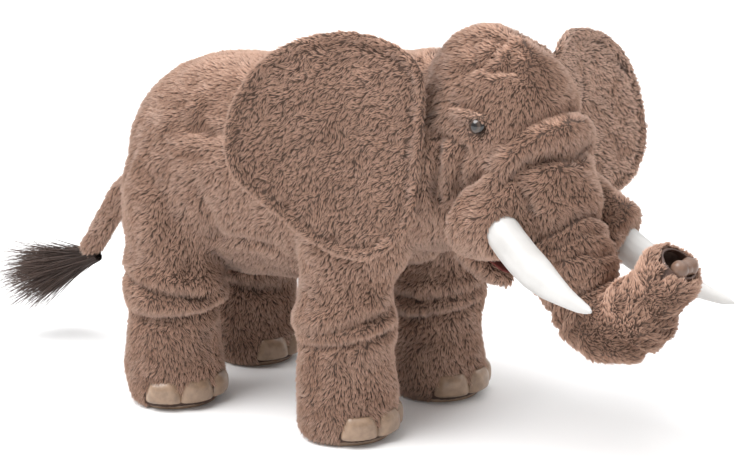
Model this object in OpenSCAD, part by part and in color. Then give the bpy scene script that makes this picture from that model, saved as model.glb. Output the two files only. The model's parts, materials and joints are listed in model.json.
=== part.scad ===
// Standing plush elephant: sewn fabric panels over stuffing, with satin tusks,
// locking eyes, leather-look toenails and a hair tail tuft.
// X points forwards, Y to the elephant's left, Z up, millimetres.

/* [Stance] */
// Distance between the front and hind leg centres
leg_spacing = 162; // [135:1:195]
// Distance between the right and left leg centres
leg_track = 114; // [104:1:137]
// Height of the hip and shoulder centres above the floor
hip_height = 140; // [117:1:150]
// Height of the top of the back above the floor
back_height = 254; // [250:1:305]

/* [Torso] */
// Width of the torso at its widest
body_w = 168; // [150:1:202]
// Height of the torso from belly to back
body_h = 160; // [150:1:192]
// How far the rump stands behind the hind leg centres
rump_overhang = 60; // [50:1:72]
// How far the neck centre stands ahead of the front leg centres
neck_reach = 19; // [16:1:23]
// Radius of the stuffed neck ball that turns in the torso
neck_ball_r = 47; // [39:0.5:49]
// Half angle of the belly gusset, seen from the front
gusset_angle = 11; // [8:1:14]

/* [Legs] */
// Outer radius of a leg at the hip
leg_r = 33; // [27.5:0.5:39.6]
// Outer radius of a foot
foot_r = 35; // [29:0.5:42]
// How far a leg swings each way
leg_swing = 10; // [0:1:12]
// Thickness of a sole pad
sole_t = 3; // [2:0.5:4]
// Height of a toenail cap
nail_h = 19; // [15:0.5:23]
// Width of a toenail cap, as an angle round the foot
nail_angle = 42; // [34:1:44]

/* [Head] */
// How far the head is turned to the elephant's right
head_turn = 12; // [0:1:20]
// Length of the head from the neck centre to the brow
head_len = 112; // [106:1:134]
// Height of the head from the throat to the crown
head_h = 148; // [136:1:178]
// Width of the head
head_w = 112; // [94:1:134]
// Diameter of an eye
eye_d = 9; // [7.5:0.5:11]
// Diameter of the washer that locks an eye behind the fabric
washer_d = 14; // [12:0.5:17]

/* [Trunk] */
// Length of the trunk from the face to its tip
trunk_len = 179; // [172:1:215]
// Outer radius of the trunk where it leaves the face
trunk_r = 33; // [30:0.5:36]
// How much the radius steps down at each trunk bend
trunk_step = 4.7; // [4.4:0.1:5.2]
// Radius of the flared cup at the trunk tip
tip_r = 19; // [17:0.5:22]

/* [Tusks and jaw] */
// Length of a tusk outside the face
tusk_len = 114; // [95:1:137]
// Radius of a tusk at its root
tusk_r = 12; // [10:0.5:14.4]
// Half width of the lower jaw at its hinge
jaw_r = 19; // [16:0.5:23]
// Length of the lower jaw
jaw_len = 42; // [35:1:50]

/* [Ears] */
// Length of an ear from its seam to the outer edge
ear_len = 138; // [115:1:165]
// Height of an ear
ear_h = 154; // [128:1:185]
// Thickness of one ear panel
ear_t = 2.6; // [2:0.2:3.4]
// Angle of the right ear from the side of the head
right_ear_flare = 37; // [30:1:60]
// Angle of the left ear from the side of the head
left_ear_flare = 84; // [66:1:105]
// How far the left ear's outer edge droops
left_ear_droop = 20; // [0:1:24]

/* [Tail] */
// Length of the fabric part of the tail
tail_len = 88; // [74:1:106]
// Radius of the tail at its root
tail_r = 9; // [7.5:0.5:10.8]
// Length of the hair tuft
tuft_len = 88; // [74:1:106]

/* [Fabric] */
// Thickness of the plush skin
skin = 3; // [2:0.2:3.4]
// Clearance between parts that move against each other
gap = 1; // [0.5:0.1:1.5]

/* [Hidden] */
SIDES = 20;
leg_x = leg_spacing / 2;
leg_y = leg_track / 2;
neck = [leg_x + neck_reach, 0, back_height - 62];
torso_front = neck[0] + 6;
rump_x = -leg_x - rump_overhang;
rump_hole = 0.16;
tail_pivot = [rump_x - tail_r + 2, 0, back_height - 106];

// Each leg: name, fore or hind, right or left, how far forward it stands, how far it turns out
LEGS = [["front_right", 1, -1, -12, 0], ["front_left", 1, 1, -2, 0],
    ["hind_right", -1, -1, 0, 26], ["hind_left", -1, 1, -6, 12]];

plush = [0.50, 0.41, 0.34];
plush_dark = [0.42, 0.34, 0.28];
stuffing = [0.93, 0.92, 0.88];
satin = [0.96, 0.95, 0.92];
taupe_leather = [0.55, 0.47, 0.38];
dark_lining = [0.22, 0.15, 0.12];
mouth_red = [0.36, 0.10, 0.09];

// ---- curves -------------------------------------------------------------

// 0 below a, 1 above b, smooth between
function ease(a, b, x) = let (t = max(0, min(1, (x - a) / (b - a)))) t * t * (3 - 2 * t);

function spline_point(p0, p1, p2, p3, t) =
    0.5 * (2 * p1 + (p2 - p0) * t + (2 * p0 - 5 * p1 + 4 * p2 - p3) * t * t
        + (3 * p1 - p0 - 3 * p2 + p3) * t * t * t);

// A smooth closed curve through the points, with n steps between each two
function closed_curve(pts, n) =
    let (m = len(pts))
    [for (i = [0 : m - 1], k = [0 : n - 1])
        spline_point(pts[(i + m - 1) % m], pts[i], pts[(i + 1) % m], pts[(i + 2) % m], k / n)];

// The value at u (0 to 1) of a smooth open curve through the points
function open_curve(pts, u) =
    let (m = len(pts) - 1, s = min(u, 0.99999) * m, i = floor(s))
    spline_point(pts[max(0, i - 1)], pts[i], pts[i + 1], pts[min(m, i + 2)], s - i);

// ---- closed solids from rows of points ------------------------------------

// Two triangles for each cell of a grid; n points a row, closed round if wrap
function cells(rows, n, start, wrap, flip) =
    [for (i = [0 : rows - 2], j = [0 : n - (wrap ? 1 : 2)])
        let (a = start + i * n + j, b = start + i * n + (j + 1) % n, c = a + n, d = b + n)
        each (flip ? [[a, c, b], [b, c, d]] : [[a, b, c], [b, d, c]])];

// A solid body through closed rings, with a flat or domed fan at each end
module ring_body(rings, tip_a, tip_b) {
    n = len(rings[0]);
    m = len(rings);
    pts = [for (r = rings) each r];
    polyhedron(concat(pts, [tip_a, tip_b]), concat(
        cells(m, n, 0, true, false),
        [for (j = [0 : n - 1]) [m * n, (j + 1) % n, j]],
        [for (j = [0 : n - 1]) let (s = (m - 1) * n) [m * n + 1, s + j, s + (j + 1) % n]]));
}

// A tube wall between outer and inner rings, open at both ends
module ring_tube(outer, inner) {
    n = len(outer[0]);
    m = len(outer);
    s = m * n;
    polyhedron(concat([for (r = outer) each r], [for (r = inner) each r]), concat(
        cells(m, n, 0, true, false),
        cells(m, n, s, true, true),
        [for (j = [0 : n - 1]) let (k = (j + 1) % n) each [[j, s + j, k], [k, s + j, s + k]]],
        [for (j = [0 : n - 1]) let (k = (j + 1) % n, e = s - n)
            each [[e + j, e + k, s + e + j], [e + k, s + e + k, s + e + j]]]));
}

// A cup wall: a tube closed at its last ring by an outer and an inner tip
module ring_cup(outer, inner, tip_o, tip_i) {
    n = len(outer[0]);
    m = len(outer);
    s = m * n;
    e = s - n;
    polyhedron(concat([for (r = outer) each r], [for (r = inner) each r], [tip_o, tip_i]), concat(
        cells(m, n, 0, true, false),
        cells(m, n, s, true, true),
        [for (j = [0 : n - 1]) let (k = (j + 1) % n) each [[j, s + j, k], [k, s + j, s + k]]],
        [for (j = [0 : n - 1]) [2 * s, e + j, e + (j + 1) % n]],
        [for (j = [0 : n - 1]) [2 * s + 1, s + e + (j + 1) % n, s + e + j]]));
}

// A sewn panel: an open grid of outer points backed by an inner one
module panel(outer, inner) {
    n = len(outer[0]);
    m = len(outer);
    s = m * n;
    e = s - n;
    polyhedron(concat([for (r = outer) each r], [for (r = inner) each r]), concat(
        cells(m, n, 0, false, false),
        cells(m, n, s, false, true),
        [for (j = [0 : n - 2]) each [[j, s + j, j + 1], [j + 1, s + j, s + j + 1]]],
        [for (j = [0 : n - 2])
            each [[e + j, e + j + 1, s + e + j], [e + j + 1, s + e + j + 1, s + e + j]]],
        [for (i = [0 : m - 2]) let (a = i * n, b = a + n) each [[a, b, s + a], [b, s + b, s + a]]],
        [for (i = [0 : m - 2]) let (a = i * n + n - 1, b = a + n)
            each [[a, s + a, b], [b, s + a, s + b]]]));
}

// ---- torso ----------------------------------------------------------------

// Centre height, half height and half width of the torso at x, drawn in by inset
function torso_size(x, inset) =
    let (cap = rump_x + body_h / 2,
         q = max(0, (cap - x) / (body_h / 2)),
         f = sqrt(max(rump_hole * rump_hole, 1 - q * q)),
         p = ease(0, torso_front, x))
    [back_height - body_h / 2 + p * 20 - (1 - f) * 5,
     max(2, body_h / 2 * f * (1 - 0.05 * p) - inset),
     max(2, body_w / 2 * f * (1 - 0.20 * p) - inset)];

// A run of ring points at x, from angle a to b measured up from the belly on
// the elephant's right side
function torso_arc(x, inset, a, b, n) =
    let (z = torso_size(x, inset))
    [for (i = [0 : n]) let (t = a + (b - a) * i / n) [x, -z[2] * sin(t), z[0] - z[1] * cos(t)]];

TORSO_STEPS = [0, 0.02, 0.05, 0.10, 0.17, 0.26, 0.38, 0.50, 0.62, 0.74, 0.87, 1];
side_steps = 12;
gusset_steps = 3;
function torso_x(u) = rump_x + 1 + u * (torso_front - rump_x - 1);

module torso_band(a, b, n) {
    panel([for (u = TORSO_STEPS) torso_arc(torso_x(u), 0, a, b, n)],
          [for (u = TORSO_STEPS) torso_arc(torso_x(u), skin, a, b, n)]);
}

// Room for a leg's dome and for its swing, with a little to spare
POCKET_SIDES = 18;
swing_spare = 1;

module leg_pocket(leg) {
    r = leg_r + gap;
    h = hip_height / 2;
    at_leg(leg) translate([0, 0, hip_height]) hull() {
        sphere(r, $fn = POCKET_SIDES);
        for (t = [-1, 1]) rotate([0, t * (leg_swing + swing_spare), 0])
            translate([0, 0, -h]) cylinder(h = h, r = r, $fn = POCKET_SIDES);
    }
}

module neck_socket() {
    translate(neck) sphere(neck_ball_r + gap, $fn = 64);
}

module torso_side(side) {
    a = side < 0 ? gusset_angle : 180;
    b = side < 0 ? 180 : 360 - gusset_angle;
    difference() {
        torso_band(a, b, side_steps);
        for (leg = LEGS) if (leg[2] == side) leg_pocket(leg);
    }
}

module torso_right_panel() { color(plush) torso_side(-1); }
module torso_left_panel() { color(plush) torso_side(1); }
module belly_gusset() { color(plush_dark) torso_band(-gusset_angle, gusset_angle, gusset_steps); }

module torso_fill() {
    steps = [for (u = TORSO_STEPS) torso_x(u)];
    n = len(steps) - 1;
    a = gusset_angle;
    function ring(x) = concat(torso_arc(x, skin, -a, a, gusset_steps),
        [for (k = [1 : side_steps]) torso_arc(x, skin, a, 180, side_steps)[k]],
        [for (k = [1 : side_steps - 1]) torso_arc(x, skin, 180, 360 - a, side_steps)[k]]);
    color(stuffing) difference() {
        ring_body([for (x = steps) ring(x)],
            [steps[0], 0, torso_size(steps[0], 0)[0]], [steps[n], 0, torso_size(steps[n], 0)[0]]);
        neck_socket();
        for (leg = LEGS) leg_pocket(leg);
    }
}

// ---- legs -----------------------------------------------------------------

// Height and radius of a leg up from the floor
leg_profile = [[0, foot_r - 2], [0.04, foot_r], [0.16, foot_r], [0.30, (foot_r + leg_r) / 2 - 1],
    [0.50, leg_r - 1], [0.75, leg_r], [1, leg_r]];

function leg_ring(p, inset) =
    let (z = sole_t + p[0] * (hip_height - sole_t))
    [for (i = [0 : SIDES - 1]) let (t = 360 * i / SIDES)
        [(p[1] - inset) * cos(t), (p[1] - inset) * sin(t), z]];

module at_leg(leg) {
    translate([leg[1] * leg_x + leg[3], leg[2] * leg_y, 0]) children();
}

module leg_skin(leg) {
    color(plush) at_leg(leg)
        ring_tube([for (p = leg_profile) leg_ring(p, 0)], [for (p = leg_profile) leg_ring(p, skin)]);
}

module leg_fill(leg) {
    dome = [for (t = [20 : 20 : 60]) [for (i = [0 : SIDES - 1]) let (a = 360 * i / SIDES)
        [(leg_r - skin) * cos(t) * cos(a), (leg_r - skin) * cos(t) * sin(a),
         hip_height + (leg_r - skin) * sin(t)]]];
    color(stuffing) at_leg(leg)
        ring_body(concat([for (p = leg_profile) leg_ring(p, skin)], dome),
            [0, 0, sole_t], [0, 0, hip_height + leg_r - skin]);
}

module sole(leg) {
    color(taupe_leather) at_leg(leg) cylinder(h = sole_t, r = foot_r - 3, $fn = 64);
}

// A toenail's seam above the sole, the thickness of its edge, and its padding
nail_seam = 4;
nail_edge = 0.8;
nail_puff = 3.6;

// One padded toenail cap on the front of a foot, turned to angle
module toenail(turn) {
    rows = 4;
    cols = 6;
    function at(i, j, out) =
        let (u = i / rows, v = 2 * j / cols - 1,
             across = sqrt(max(0, 1 - v * v * v * v)),
             up = sqrt(max(0, 1 - pow(2 * u - 0.9, 4) / 1.5)),
             r = foot_r + 0.1 + out * (nail_edge + nail_puff * across * up),
             t = turn + v * nail_angle / 2 * (1 - 0.35 * u * u))
        [r * cos(t), r * sin(t), sole_t + nail_seam + u * (nail_h - nail_seam)];
    panel([for (i = [0 : rows]) [for (j = [0 : cols]) at(i, j, 1)]],
          [for (i = [0 : rows]) [for (j = [0 : cols]) at(i, j, 0)]]);
}

module toenails(leg) {
    color(taupe_leather) at_leg(leg)
        for (k = [-1 : 1]) toenail(leg[2] * leg[4] + k * (nail_angle + 1));
}

// ---- head -----------------------------------------------------------------

// Places children drawn round the neck centre, with x forwards along the face
module in_head() {
    translate(neck) rotate([0, 0, -head_turn]) children();
}

// Where the trunk leaves the face, from the neck centre
trunk_root = [head_len - 4, 0, -9];
trunk_lean = -62;
root_len = 18;

// Head sections: forward place, height of centre, downward tilt, half height, half width
head_sections = [
    [36, 19, 0, 0.465 * head_h, 0.49 * head_w],
    [50, 24, 2, 0.495 * head_h, 0.50 * head_w],
    [0.64 * head_len, 27, 16, 0.47 * head_h, 0.485 * head_w],
    [0.78 * head_len, 18, 34, 0.37 * head_h, 0.43 * head_w],
    [0.88 * head_len, 5, 50, 0.275 * head_h, 0.355 * head_w],
    [trunk_root[0], trunk_root[2], -trunk_lean, trunk_r, trunk_r + 1],
    [trunk_root[0] + root_len * cos(trunk_lean), trunk_root[2] + root_len * sin(trunk_lean),
        -trunk_lean, trunk_r, trunk_r]];

// A run of points round the head section at u, from angle a to b up from the throat
function head_arc(u, inset, a, b, n) =
    let (s = open_curve(head_sections, u), up = [sin(s[2]), 0, cos(s[2])],
         c = [s[0], 0, s[1]], h = s[3] - inset, w = s[4] - inset)
    [for (i = [0 : n]) let (t = a + (b - a) * i / n)
        c - up * h * cos(t) + [0, -w * sin(t) * (1 - 0.10 * sin(2 * t - 90) * (1 - u)), 0]];

HEAD_STEPS = [for (i = [0 : 10]) i / 10];
trunk_pivots_at = [root_len, 62, 140];

module head_band(a, b, n) {
    panel([for (u = HEAD_STEPS) head_arc(u, 0, a, b, n)],
          [for (u = HEAD_STEPS) head_arc(u, skin, a, b, n)]);
}

module head_solid(inset) {
    rings = [for (u = HEAD_STEPS) head_arc(u, inset, 0, 360 - 360 / SIDES, SIDES - 1)];
    a = open_curve(head_sections, 0);
    b = open_curve(head_sections, 1);
    ring_body(rings, [a[0], 0, a[1]], [b[0], 0, b[1]]);
}

// Eye seat on the head, as a place and its outward direction for the right side
eye_out = [0.22, -0.95, 0.12];
eye_seat = [0.78 * head_len, -0.434 * head_w, 0.295 * head_h];

// Places children on an eye seat, with z pointing out of the head
module at_eye(side) {
    translate([eye_seat[0], side * -eye_seat[1], eye_seat[2]])
        rotate([0, 0, atan2(side * -eye_out[1], eye_out[0])])
            rotate([0, 90 - asin(eye_out[2]), 0]) children();
}

// How far an eye stands off its seat, its shank below the seat, and its washer
eye_lift = 0.6;
shank_len = 13;
shank_d = eye_d / 3;
washer_t = 1.6;
washer_gap = 7;

module eye(side) {
    color([0.12, 0.07, 0.05]) in_head() at_eye(side) {
        rotate_extrude($fn = 48) intersection() {
            translate([0, eye_lift]) circle(eye_d / 2, $fn = 48);
            translate([0, eye_lift]) square([eye_d, eye_d]);
        }
        translate([0, 0, -shank_len]) cylinder(h = shank_len + eye_lift + 0.1, d = shank_d, $fn = 32);
    }
}

module eye_washer(side) {
    color([0.9, 0.9, 0.9]) in_head() at_eye(side)
        translate([0, 0, -skin - washer_gap - washer_t]) difference() {
            cylinder(h = washer_t, d = washer_d, $fn = 48);
            translate([0, 0, -1]) cylinder(h = washer_t + 2, d = shank_d + 0.1, $fn = 32);
        }
}

// Holes for the eye's shank, and room for its washer
module eye_holes(washer_too) {
    below = skin + washer_gap + washer_t;
    for (side = [-1, 1]) at_eye(side) {
        translate([0, 0, -shank_len - 1.5]) cylinder(h = shank_len + 6, d = shank_d + 0.2, $fn = 32);
        if (washer_too)
            translate([0, 0, -below - 1.6]) cylinder(h = below + 3, d = washer_d + 0.6, $fn = 48);
    }
}

module eyelid(side) {
    color(plush_dark) in_head() at_eye(side) translate([0, 0, 2.6])
        rotate([0, 0, 110]) rotate_extrude(angle = 140, $fn = 48)
            translate([eye_d / 2 + 1.9, 0]) circle(1.6, $fn = 24);
}

module head_side(side) {
    a = side < 0 ? 0 : 180;
    in_head() difference() {
        head_band(a, a + 180, 10);
        eye_holes(false);
    }
}

module head_right_panel() { color(plush) head_side(-1); }
module head_left_panel() { color(plush) head_side(1); }

module head_fill() {
    color(stuffing) in_head() difference() {
        head_solid(skin);
        at_trunk(trunk_pivots_at[0]) sphere(trunk_r - trunk_step + gap, $fn = 48);
        eye_holes(true);
    }
}

// The stuffed neck: a ball that turns in the torso's socket
module neck_core() {
    color(plush_dark) in_head() intersection() {
        sphere(neck_ball_r, $fn = 64);
        translate([-neck_ball_r, -neck_ball_r, -neck_ball_r])
            cube([neck_ball_r + head_sections[0][0], 2 * neck_ball_r, 2 * neck_ball_r]);
    }
}

// ---- tusks ----------------------------------------------------------------

// Right tusk, then left tusk: spread and droop, and the root from the neck centre
tusk_pose = [[18, 19], [15, 29]];
tusk_root = [[0.94 * head_len, -0.40 * head_w, -23], [1.02 * head_len, 0.44 * head_w, -32]];

// How far a tusk rises towards its tip, and how far its middle sags
tusk_rise = 7;
tusk_sag = 6;

// Places children at a tusk's root, with x along the tusk
module at_tusk(side) {
    i = side < 0 ? 0 : 1;
    translate(tusk_root[i]) rotate([0, tusk_pose[i][1], side * tusk_pose[i][0]]) children();
}

// A tusk is thick to its bend, then tapers to a blunt tip
function tusk_radius(u) = tusk_r * (1 - 0.62 * ease(0.35, 0.95, u)) * sqrt(1 - 0.93 * pow(u, 12));

// How far a tusk's middle line lies above its root's line
function tusk_lift(u) = tusk_rise * u * u - tusk_sag * 4 * u * (1 - u);

function tusk_ring(u, inset) =
    let (r = tusk_radius(u) - inset, x = u * (tusk_len - 3),
         lift = tusk_lift(u))
    [for (i = [0 : 15]) let (t = 360 * i / 16) [x, r * cos(t), lift + r * sin(t)]];

TUSK_STEPS = [0, 0.15, 0.3, 0.45, 0.6, 0.72, 0.82, 0.9, 0.96, 1];

// Thickness of the satin, and the tusk's very tip
cover_t = 1;
tusk_tip = [tusk_len, 0, tusk_rise + 0.3];

module tusk_cover(side) {
    color(satin) in_head() at_tusk(side)
        ring_cup([for (u = TUSK_STEPS) tusk_ring(u, 0)], [for (u = TUSK_STEPS) tusk_ring(u, cover_t)],
            tusk_tip, tusk_tip - [cover_t + 1.2, 0, 0.2]);
}

module tusk_fill(side) {
    color(stuffing) in_head() at_tusk(side)
        ring_body([for (u = TUSK_STEPS) tusk_ring(u, cover_t)], [0, 0, 0],
            tusk_tip - [cover_t + 1.2, 0, 0.2]);
}

// Where the right and left sleeves start and end along their tusks, and how much
// they widen at the face
sleeve_span = [[-24, 2], [-20, 14]];
sleeve_puff = 6;
// The hair of room between a sleeve and the face it is sewn to
seat_gap = 0.4;

// The furry fold that the tusk comes out of, trimmed where it meets the face
module tusk_sleeve(side) {
    steps = [0, 0.25, 0.5, 0.75, 1];
    span = sleeve_span[side < 0 ? 0 : 1];
    function ring(u, r) = let (x = span[0] + (span[1] - span[0]) * u)
        [for (i = [0 : 19]) let (t = 18 * i)
            [x, r * cos(t), tusk_lift(max(0, x / tusk_len)) + r * sin(t)]];
    color(plush) in_head() difference() {
        at_tusk(side) ring_tube(
            [for (u = steps) ring(u, tusk_r + skin + sleeve_puff * (1 - u))],
            [for (u = steps) ring(u, tusk_r + 0.4)]);
        head_solid(-seat_gap);
    }
}

// ---- jaw ------------------------------------------------------------------

jaw_pivot = [46, 0, -42];
jaw_droop = 34;

module at_jaw() {
    translate(jaw_pivot) rotate([0, jaw_droop, 0]) children();
}

// How far ahead of its hinge the jaw starts, how far below it lies, and its depth
jaw_start = 4;
jaw_drop = 9;
jaw_depth = 17;
jaw_wall = 2;

// A jaw section: flat on top, round below
function jaw_ring(u, inset) =
    let (w = (jaw_r * (1 - 0.42 * u * u)) * sqrt(max(0.12, 1 - pow(u, 5))) - inset,
         h = jaw_depth * (1 - 0.25 * u) * sqrt(max(0.15, 1 - pow(u, 4))) - inset)
    [for (i = [0 : 19]) let (t = 18 * i)
        [jaw_start + u * (jaw_len - inset), w * cos(t),
         (sin(t) > 0 ? 0.35 : 1) * h * sin(t) - jaw_drop]];

JAW_STEPS = [0, 0.2, 0.4, 0.6, 0.75, 0.87, 0.95, 1];

// How far the jaw closes past its rest and opens, and the room kept between it and the head
jaw_close = 5;
jaw_open = 18;
jaw_room = 0.6;

// Trims the jaw where it meets the head: when open, at rest and when closed
module clear_of_head() {
    difference() {
        children();
        for (t = [-jaw_open, 0, jaw_close]) translate(jaw_pivot) rotate([0, t, 0]) translate(-jaw_pivot) {
            head_solid(-jaw_room);
            palate_slab(jaw_room);
        }
    }
}

module jaw_skin() {
    end = jaw_start + jaw_len;
    color(plush) in_head() clear_of_head() at_jaw() ring_cup(
        [for (u = JAW_STEPS) jaw_ring(u, 0)], [for (u = JAW_STEPS) jaw_ring(u, jaw_wall)],
        [end + 1, 0, -jaw_drop], [end + 1 - jaw_wall, 0, -jaw_drop]);
}

module jaw_fill() {
    color(stuffing) in_head() clear_of_head() at_jaw()
        ring_body([for (u = JAW_STEPS) jaw_ring(u, jaw_wall)],
            [jaw_start, 0, -jaw_drop], [jaw_start + jaw_len + 1 - jaw_wall, 0, -jaw_drop]);
}

// Dark lining sewn over the jaw
module jaw_lining() {
    color(mouth_red) in_head() clear_of_head() at_jaw() translate([0, 0, -2.4])
        linear_extrude(1.4) hull() {
            translate([20, 0]) circle(jaw_r - 5, $fn = 48);
            translate([jaw_len - 8, 0]) circle(jaw_r * 0.5, $fn = 48);
        }
}

// Dark lining of the roof of the mouth, laid under the head and trimmed to it
palate_at = [60, 0, -46];
palate_tilt = -8;

module palate_slab(grow) {
    translate(palate_at) rotate([0, palate_tilt, 0]) translate([0, 0, -grow])
        linear_extrude(9) offset(grow) hull() {
            circle(14, $fn = 48);
            translate([14, 0]) circle(11, $fn = 48);
        }
}

module mouth_palate() {
    color(mouth_red) in_head() difference() {
        palate_slab(0);
        head_solid(-0.2);
    }
}

// ---- trunk ----------------------------------------------------------------

bend_start = 70;
bend_end = 126;
trunk_rise = 53;
TRUNK_STEP = 2;

// Angle of the trunk above level at s along it
function trunk_angle(s) = trunk_lean + (trunk_rise - trunk_lean) * ease(bend_start - 8, bend_end + 8, s);

// The trunk's centre line, a point every TRUNK_STEP
trunk_line = [for (s = 0, p = trunk_root; s <= trunk_len;
    p = p + TRUNK_STEP * [cos(trunk_angle(s)), 0, sin(trunk_angle(s))], s = s + TRUNK_STEP) p];

function trunk_point(s) = trunk_line[min(len(trunk_line) - 1, round(s / TRUNK_STEP))];

// Places children on the trunk's centre line at s, with z back along the trunk
module at_trunk(s) {
    translate(trunk_point(s)) rotate([0, -90 - trunk_angle(s), 0]) children();
}

function trunk_ring(s, r) =
    let (a = trunk_angle(s), c = trunk_point(s), up = [-sin(a), 0, cos(a)])
    [for (i = [0 : 19]) let (t = 18 * i) c + up * r * cos(t) + [0, -r * sin(t), 0]];

// Rings of the dome that fills the joint above s
function dome_rings(s, r) =
    let (a = trunk_angle(s), c = trunk_point(s), d = [cos(a), 0, sin(a)], up = [-sin(a), 0, cos(a)])
    [for (t = [72 : -18 : 18]) [for (i = [0 : 19]) let (b = 18 * i)
        c - d * r * sin(t) + (up * cos(b) + [0, -sin(b), 0]) * r * cos(t)]];

function dome_tip(s, r) =
    let (a = trunk_angle(s)) trunk_point(s) - r * [cos(a), 0, sin(a)];

function steps_between(a, b, n) = [for (i = [0 : n]) a + (b - a) * i / n];

upper_r = trunk_r - trunk_step;
bend_r = upper_r - trunk_step;
tip_start_r = bend_r - trunk_step;

// A stretch of trunk skin from s0 to s1
module trunk_skin(s0, s1, r0, r1, n) {
    steps = steps_between(s0, s1, n);
    function r(s) = r0 + (r1 - r0) * (s - s0) / (s1 - s0);
    ring_tube([for (s = steps) trunk_ring(s, r(s))], [for (s = steps) trunk_ring(s, r(s) - skin)]);
}

// The stuffing of that stretch, with a dome at its upper end. It stops a step short,
// so the next stretch has room to swing
module trunk_fill(s0, s1, r0, r1, n) {
    steps = steps_between(s0, s1, n);
    function r(s) = r0 + (r1 - r0) * (s - s0) / (s1 - s0) - skin;
    ring_body(concat(dome_rings(s0, r0 - skin), [for (i = [0 : n - 1]) trunk_ring(steps[i], r(steps[i]))]),
        dome_tip(s0, r0 - skin), trunk_point(steps[n - 1]));
}

module trunk_upper_skin() {
    color(plush) in_head() trunk_skin(trunk_pivots_at[0], trunk_pivots_at[1], upper_r, upper_r, 5);
}

module trunk_upper_fill() {
    color(stuffing) in_head() difference() {
        trunk_fill(trunk_pivots_at[0], trunk_pivots_at[1], upper_r, upper_r, 5);
        at_trunk(trunk_pivots_at[1]) sphere(bend_r - skin + gap, $fn = 48);
    }
}

module trunk_bend_skin() {
    color(plush) in_head() trunk_skin(trunk_pivots_at[1], trunk_pivots_at[2], bend_r, bend_r - 1, 12);
}

module trunk_bend_fill() {
    color(stuffing) in_head() difference() {
        trunk_fill(trunk_pivots_at[1], trunk_pivots_at[2], bend_r, bend_r - 1, 12);
        at_trunk(trunk_pivots_at[2]) sphere(tip_start_r - skin + gap, $fn = 48);
    }
}

// Radius of the tip from its joint to its flared cup
function tip_radius(s) =
    let (u = (s - trunk_pivots_at[2]) / (trunk_len - trunk_pivots_at[2]))
    tip_start_r - 1 + (tip_r - tip_start_r + 1) * ease(0.2, 0.75, u) - 2.5 * ease(0.75, 1, u);

// Places along the tip; the stuffing ends at one of them and the cup starts at the next
TIP_STEPS = steps_between(trunk_pivots_at[2], trunk_len, 9);
fill_end = 5;

module trunk_tip_skin() {
    color(plush) in_head() ring_tube([for (s = TIP_STEPS) trunk_ring(s, tip_radius(s))],
        [for (s = TIP_STEPS) trunk_ring(s, tip_radius(s) - skin)]);
}

module trunk_tip_fill() {
    r = tip_radius(trunk_pivots_at[2]) - skin;
    color(stuffing) in_head() ring_body(concat(dome_rings(trunk_pivots_at[2], r),
        [for (i = [0 : fill_end]) trunk_ring(TIP_STEPS[i], tip_radius(TIP_STEPS[i]) - skin)]),
        dome_tip(trunk_pivots_at[2], r), trunk_point(TIP_STEPS[fill_end]));
}

// The dark pocket in the tip: a cup lining that backs on to the stuffing
lining_t = 1.6;
lining_gap = 0.35;

module nostril_lining() {
    steps = [for (i = [len(TIP_STEPS) - 1 : -1 : fill_end + 1]) TIP_STEPS[i]];
    bottom = TIP_STEPS[fill_end];
    color(dark_lining) in_head() ring_cup(
        [for (s = steps) trunk_ring(s, tip_radius(s) - skin - lining_gap)],
        [for (s = steps) trunk_ring(s, tip_radius(s) - skin - lining_gap - lining_t)],
        trunk_point(bottom), trunk_point(bottom + 1.25 * lining_t));
}

// The soft lip that lies in the lower half of the cup
module trunk_tip_lip() {
    color(dark_lining) in_head() at_trunk(trunk_len - 3) translate([-5, 0, 0])
        rotate_extrude($fn = 32) translate([0, -2]) intersection() {
            circle(5.5, $fn = 32);
            translate([0, -5.5]) square([5.5, 11]);
        }
}

// ---- ears -----------------------------------------------------------------

ear_hinge_low = [53, 0.545 * head_w, -12];
ear_hinge_high = [53, 0.475 * head_w, 80];
ear_centre = [0.47, 0.03];

// Where an ear's own zero height lies up the seam, as a share of it
ear_foot = 0.36;

// Outline of an ear as shares of its length and height, from the seam outwards
ear_outline = closed_curve([[0.035, 0.33], [0.17, 0.46], [0.40, 0.505], [0.66, 0.46], [0.87, 0.32],
    [0.985, 0.08], [0.95, -0.14], [0.76, -0.28], [0.52, -0.44], [0.28, -0.495], [0.10, -0.38],
    [0.035, -0.22], [0.035, 0.05]], 2);

// How far the ear is cupped out of flat at e along it and h up it
function ear_cup(e, h) = 10 * e * e - 7 * sin(180 * min(1, e)) + 12 * max(0, -h) * e + 5 * h * h;

// A layer of one ear panel: rings shrinking to the ear's centre
function ear_layer(offset) =
    let (n = 4)
    [for (k = [0 : n - 1]) let (f = 1 - k / n) [for (p = ear_outline)
        let (e = ear_centre[0] + (p[0] - ear_centre[0]) * f,
             h = ear_centre[1] + (p[1] - ear_centre[1]) * f)
        [e * ear_len, ear_cup(e, h) + offset * (1 - 0.6 * pow(f, 6)), h * ear_h]]];

function ear_middle(offset) =
    [ear_centre[0] * ear_len, ear_cup(ear_centre[0], ear_centre[1]) + offset, ear_centre[1] * ear_h];

// Places children on the ear's seam, with x out along the ear and z up the seam
module at_ear(side) {
    flare = side < 0 ? right_ear_flare : left_ear_flare;
    low = [ear_hinge_low[0], side * ear_hinge_low[1], ear_hinge_low[2]];
    high = [ear_hinge_high[0], side * ear_hinge_high[1], ear_hinge_high[2]];
    lean = atan2((low - high)[1], high[2] - low[2]);
    translate(low + (high - low) * ear_foot) rotate([lean, 0, 0]) rotate([0, 0, side * (180 - flare)])
        rotate([0, side < 0 ? 0 : left_ear_droop, 0]) children();
}

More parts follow.
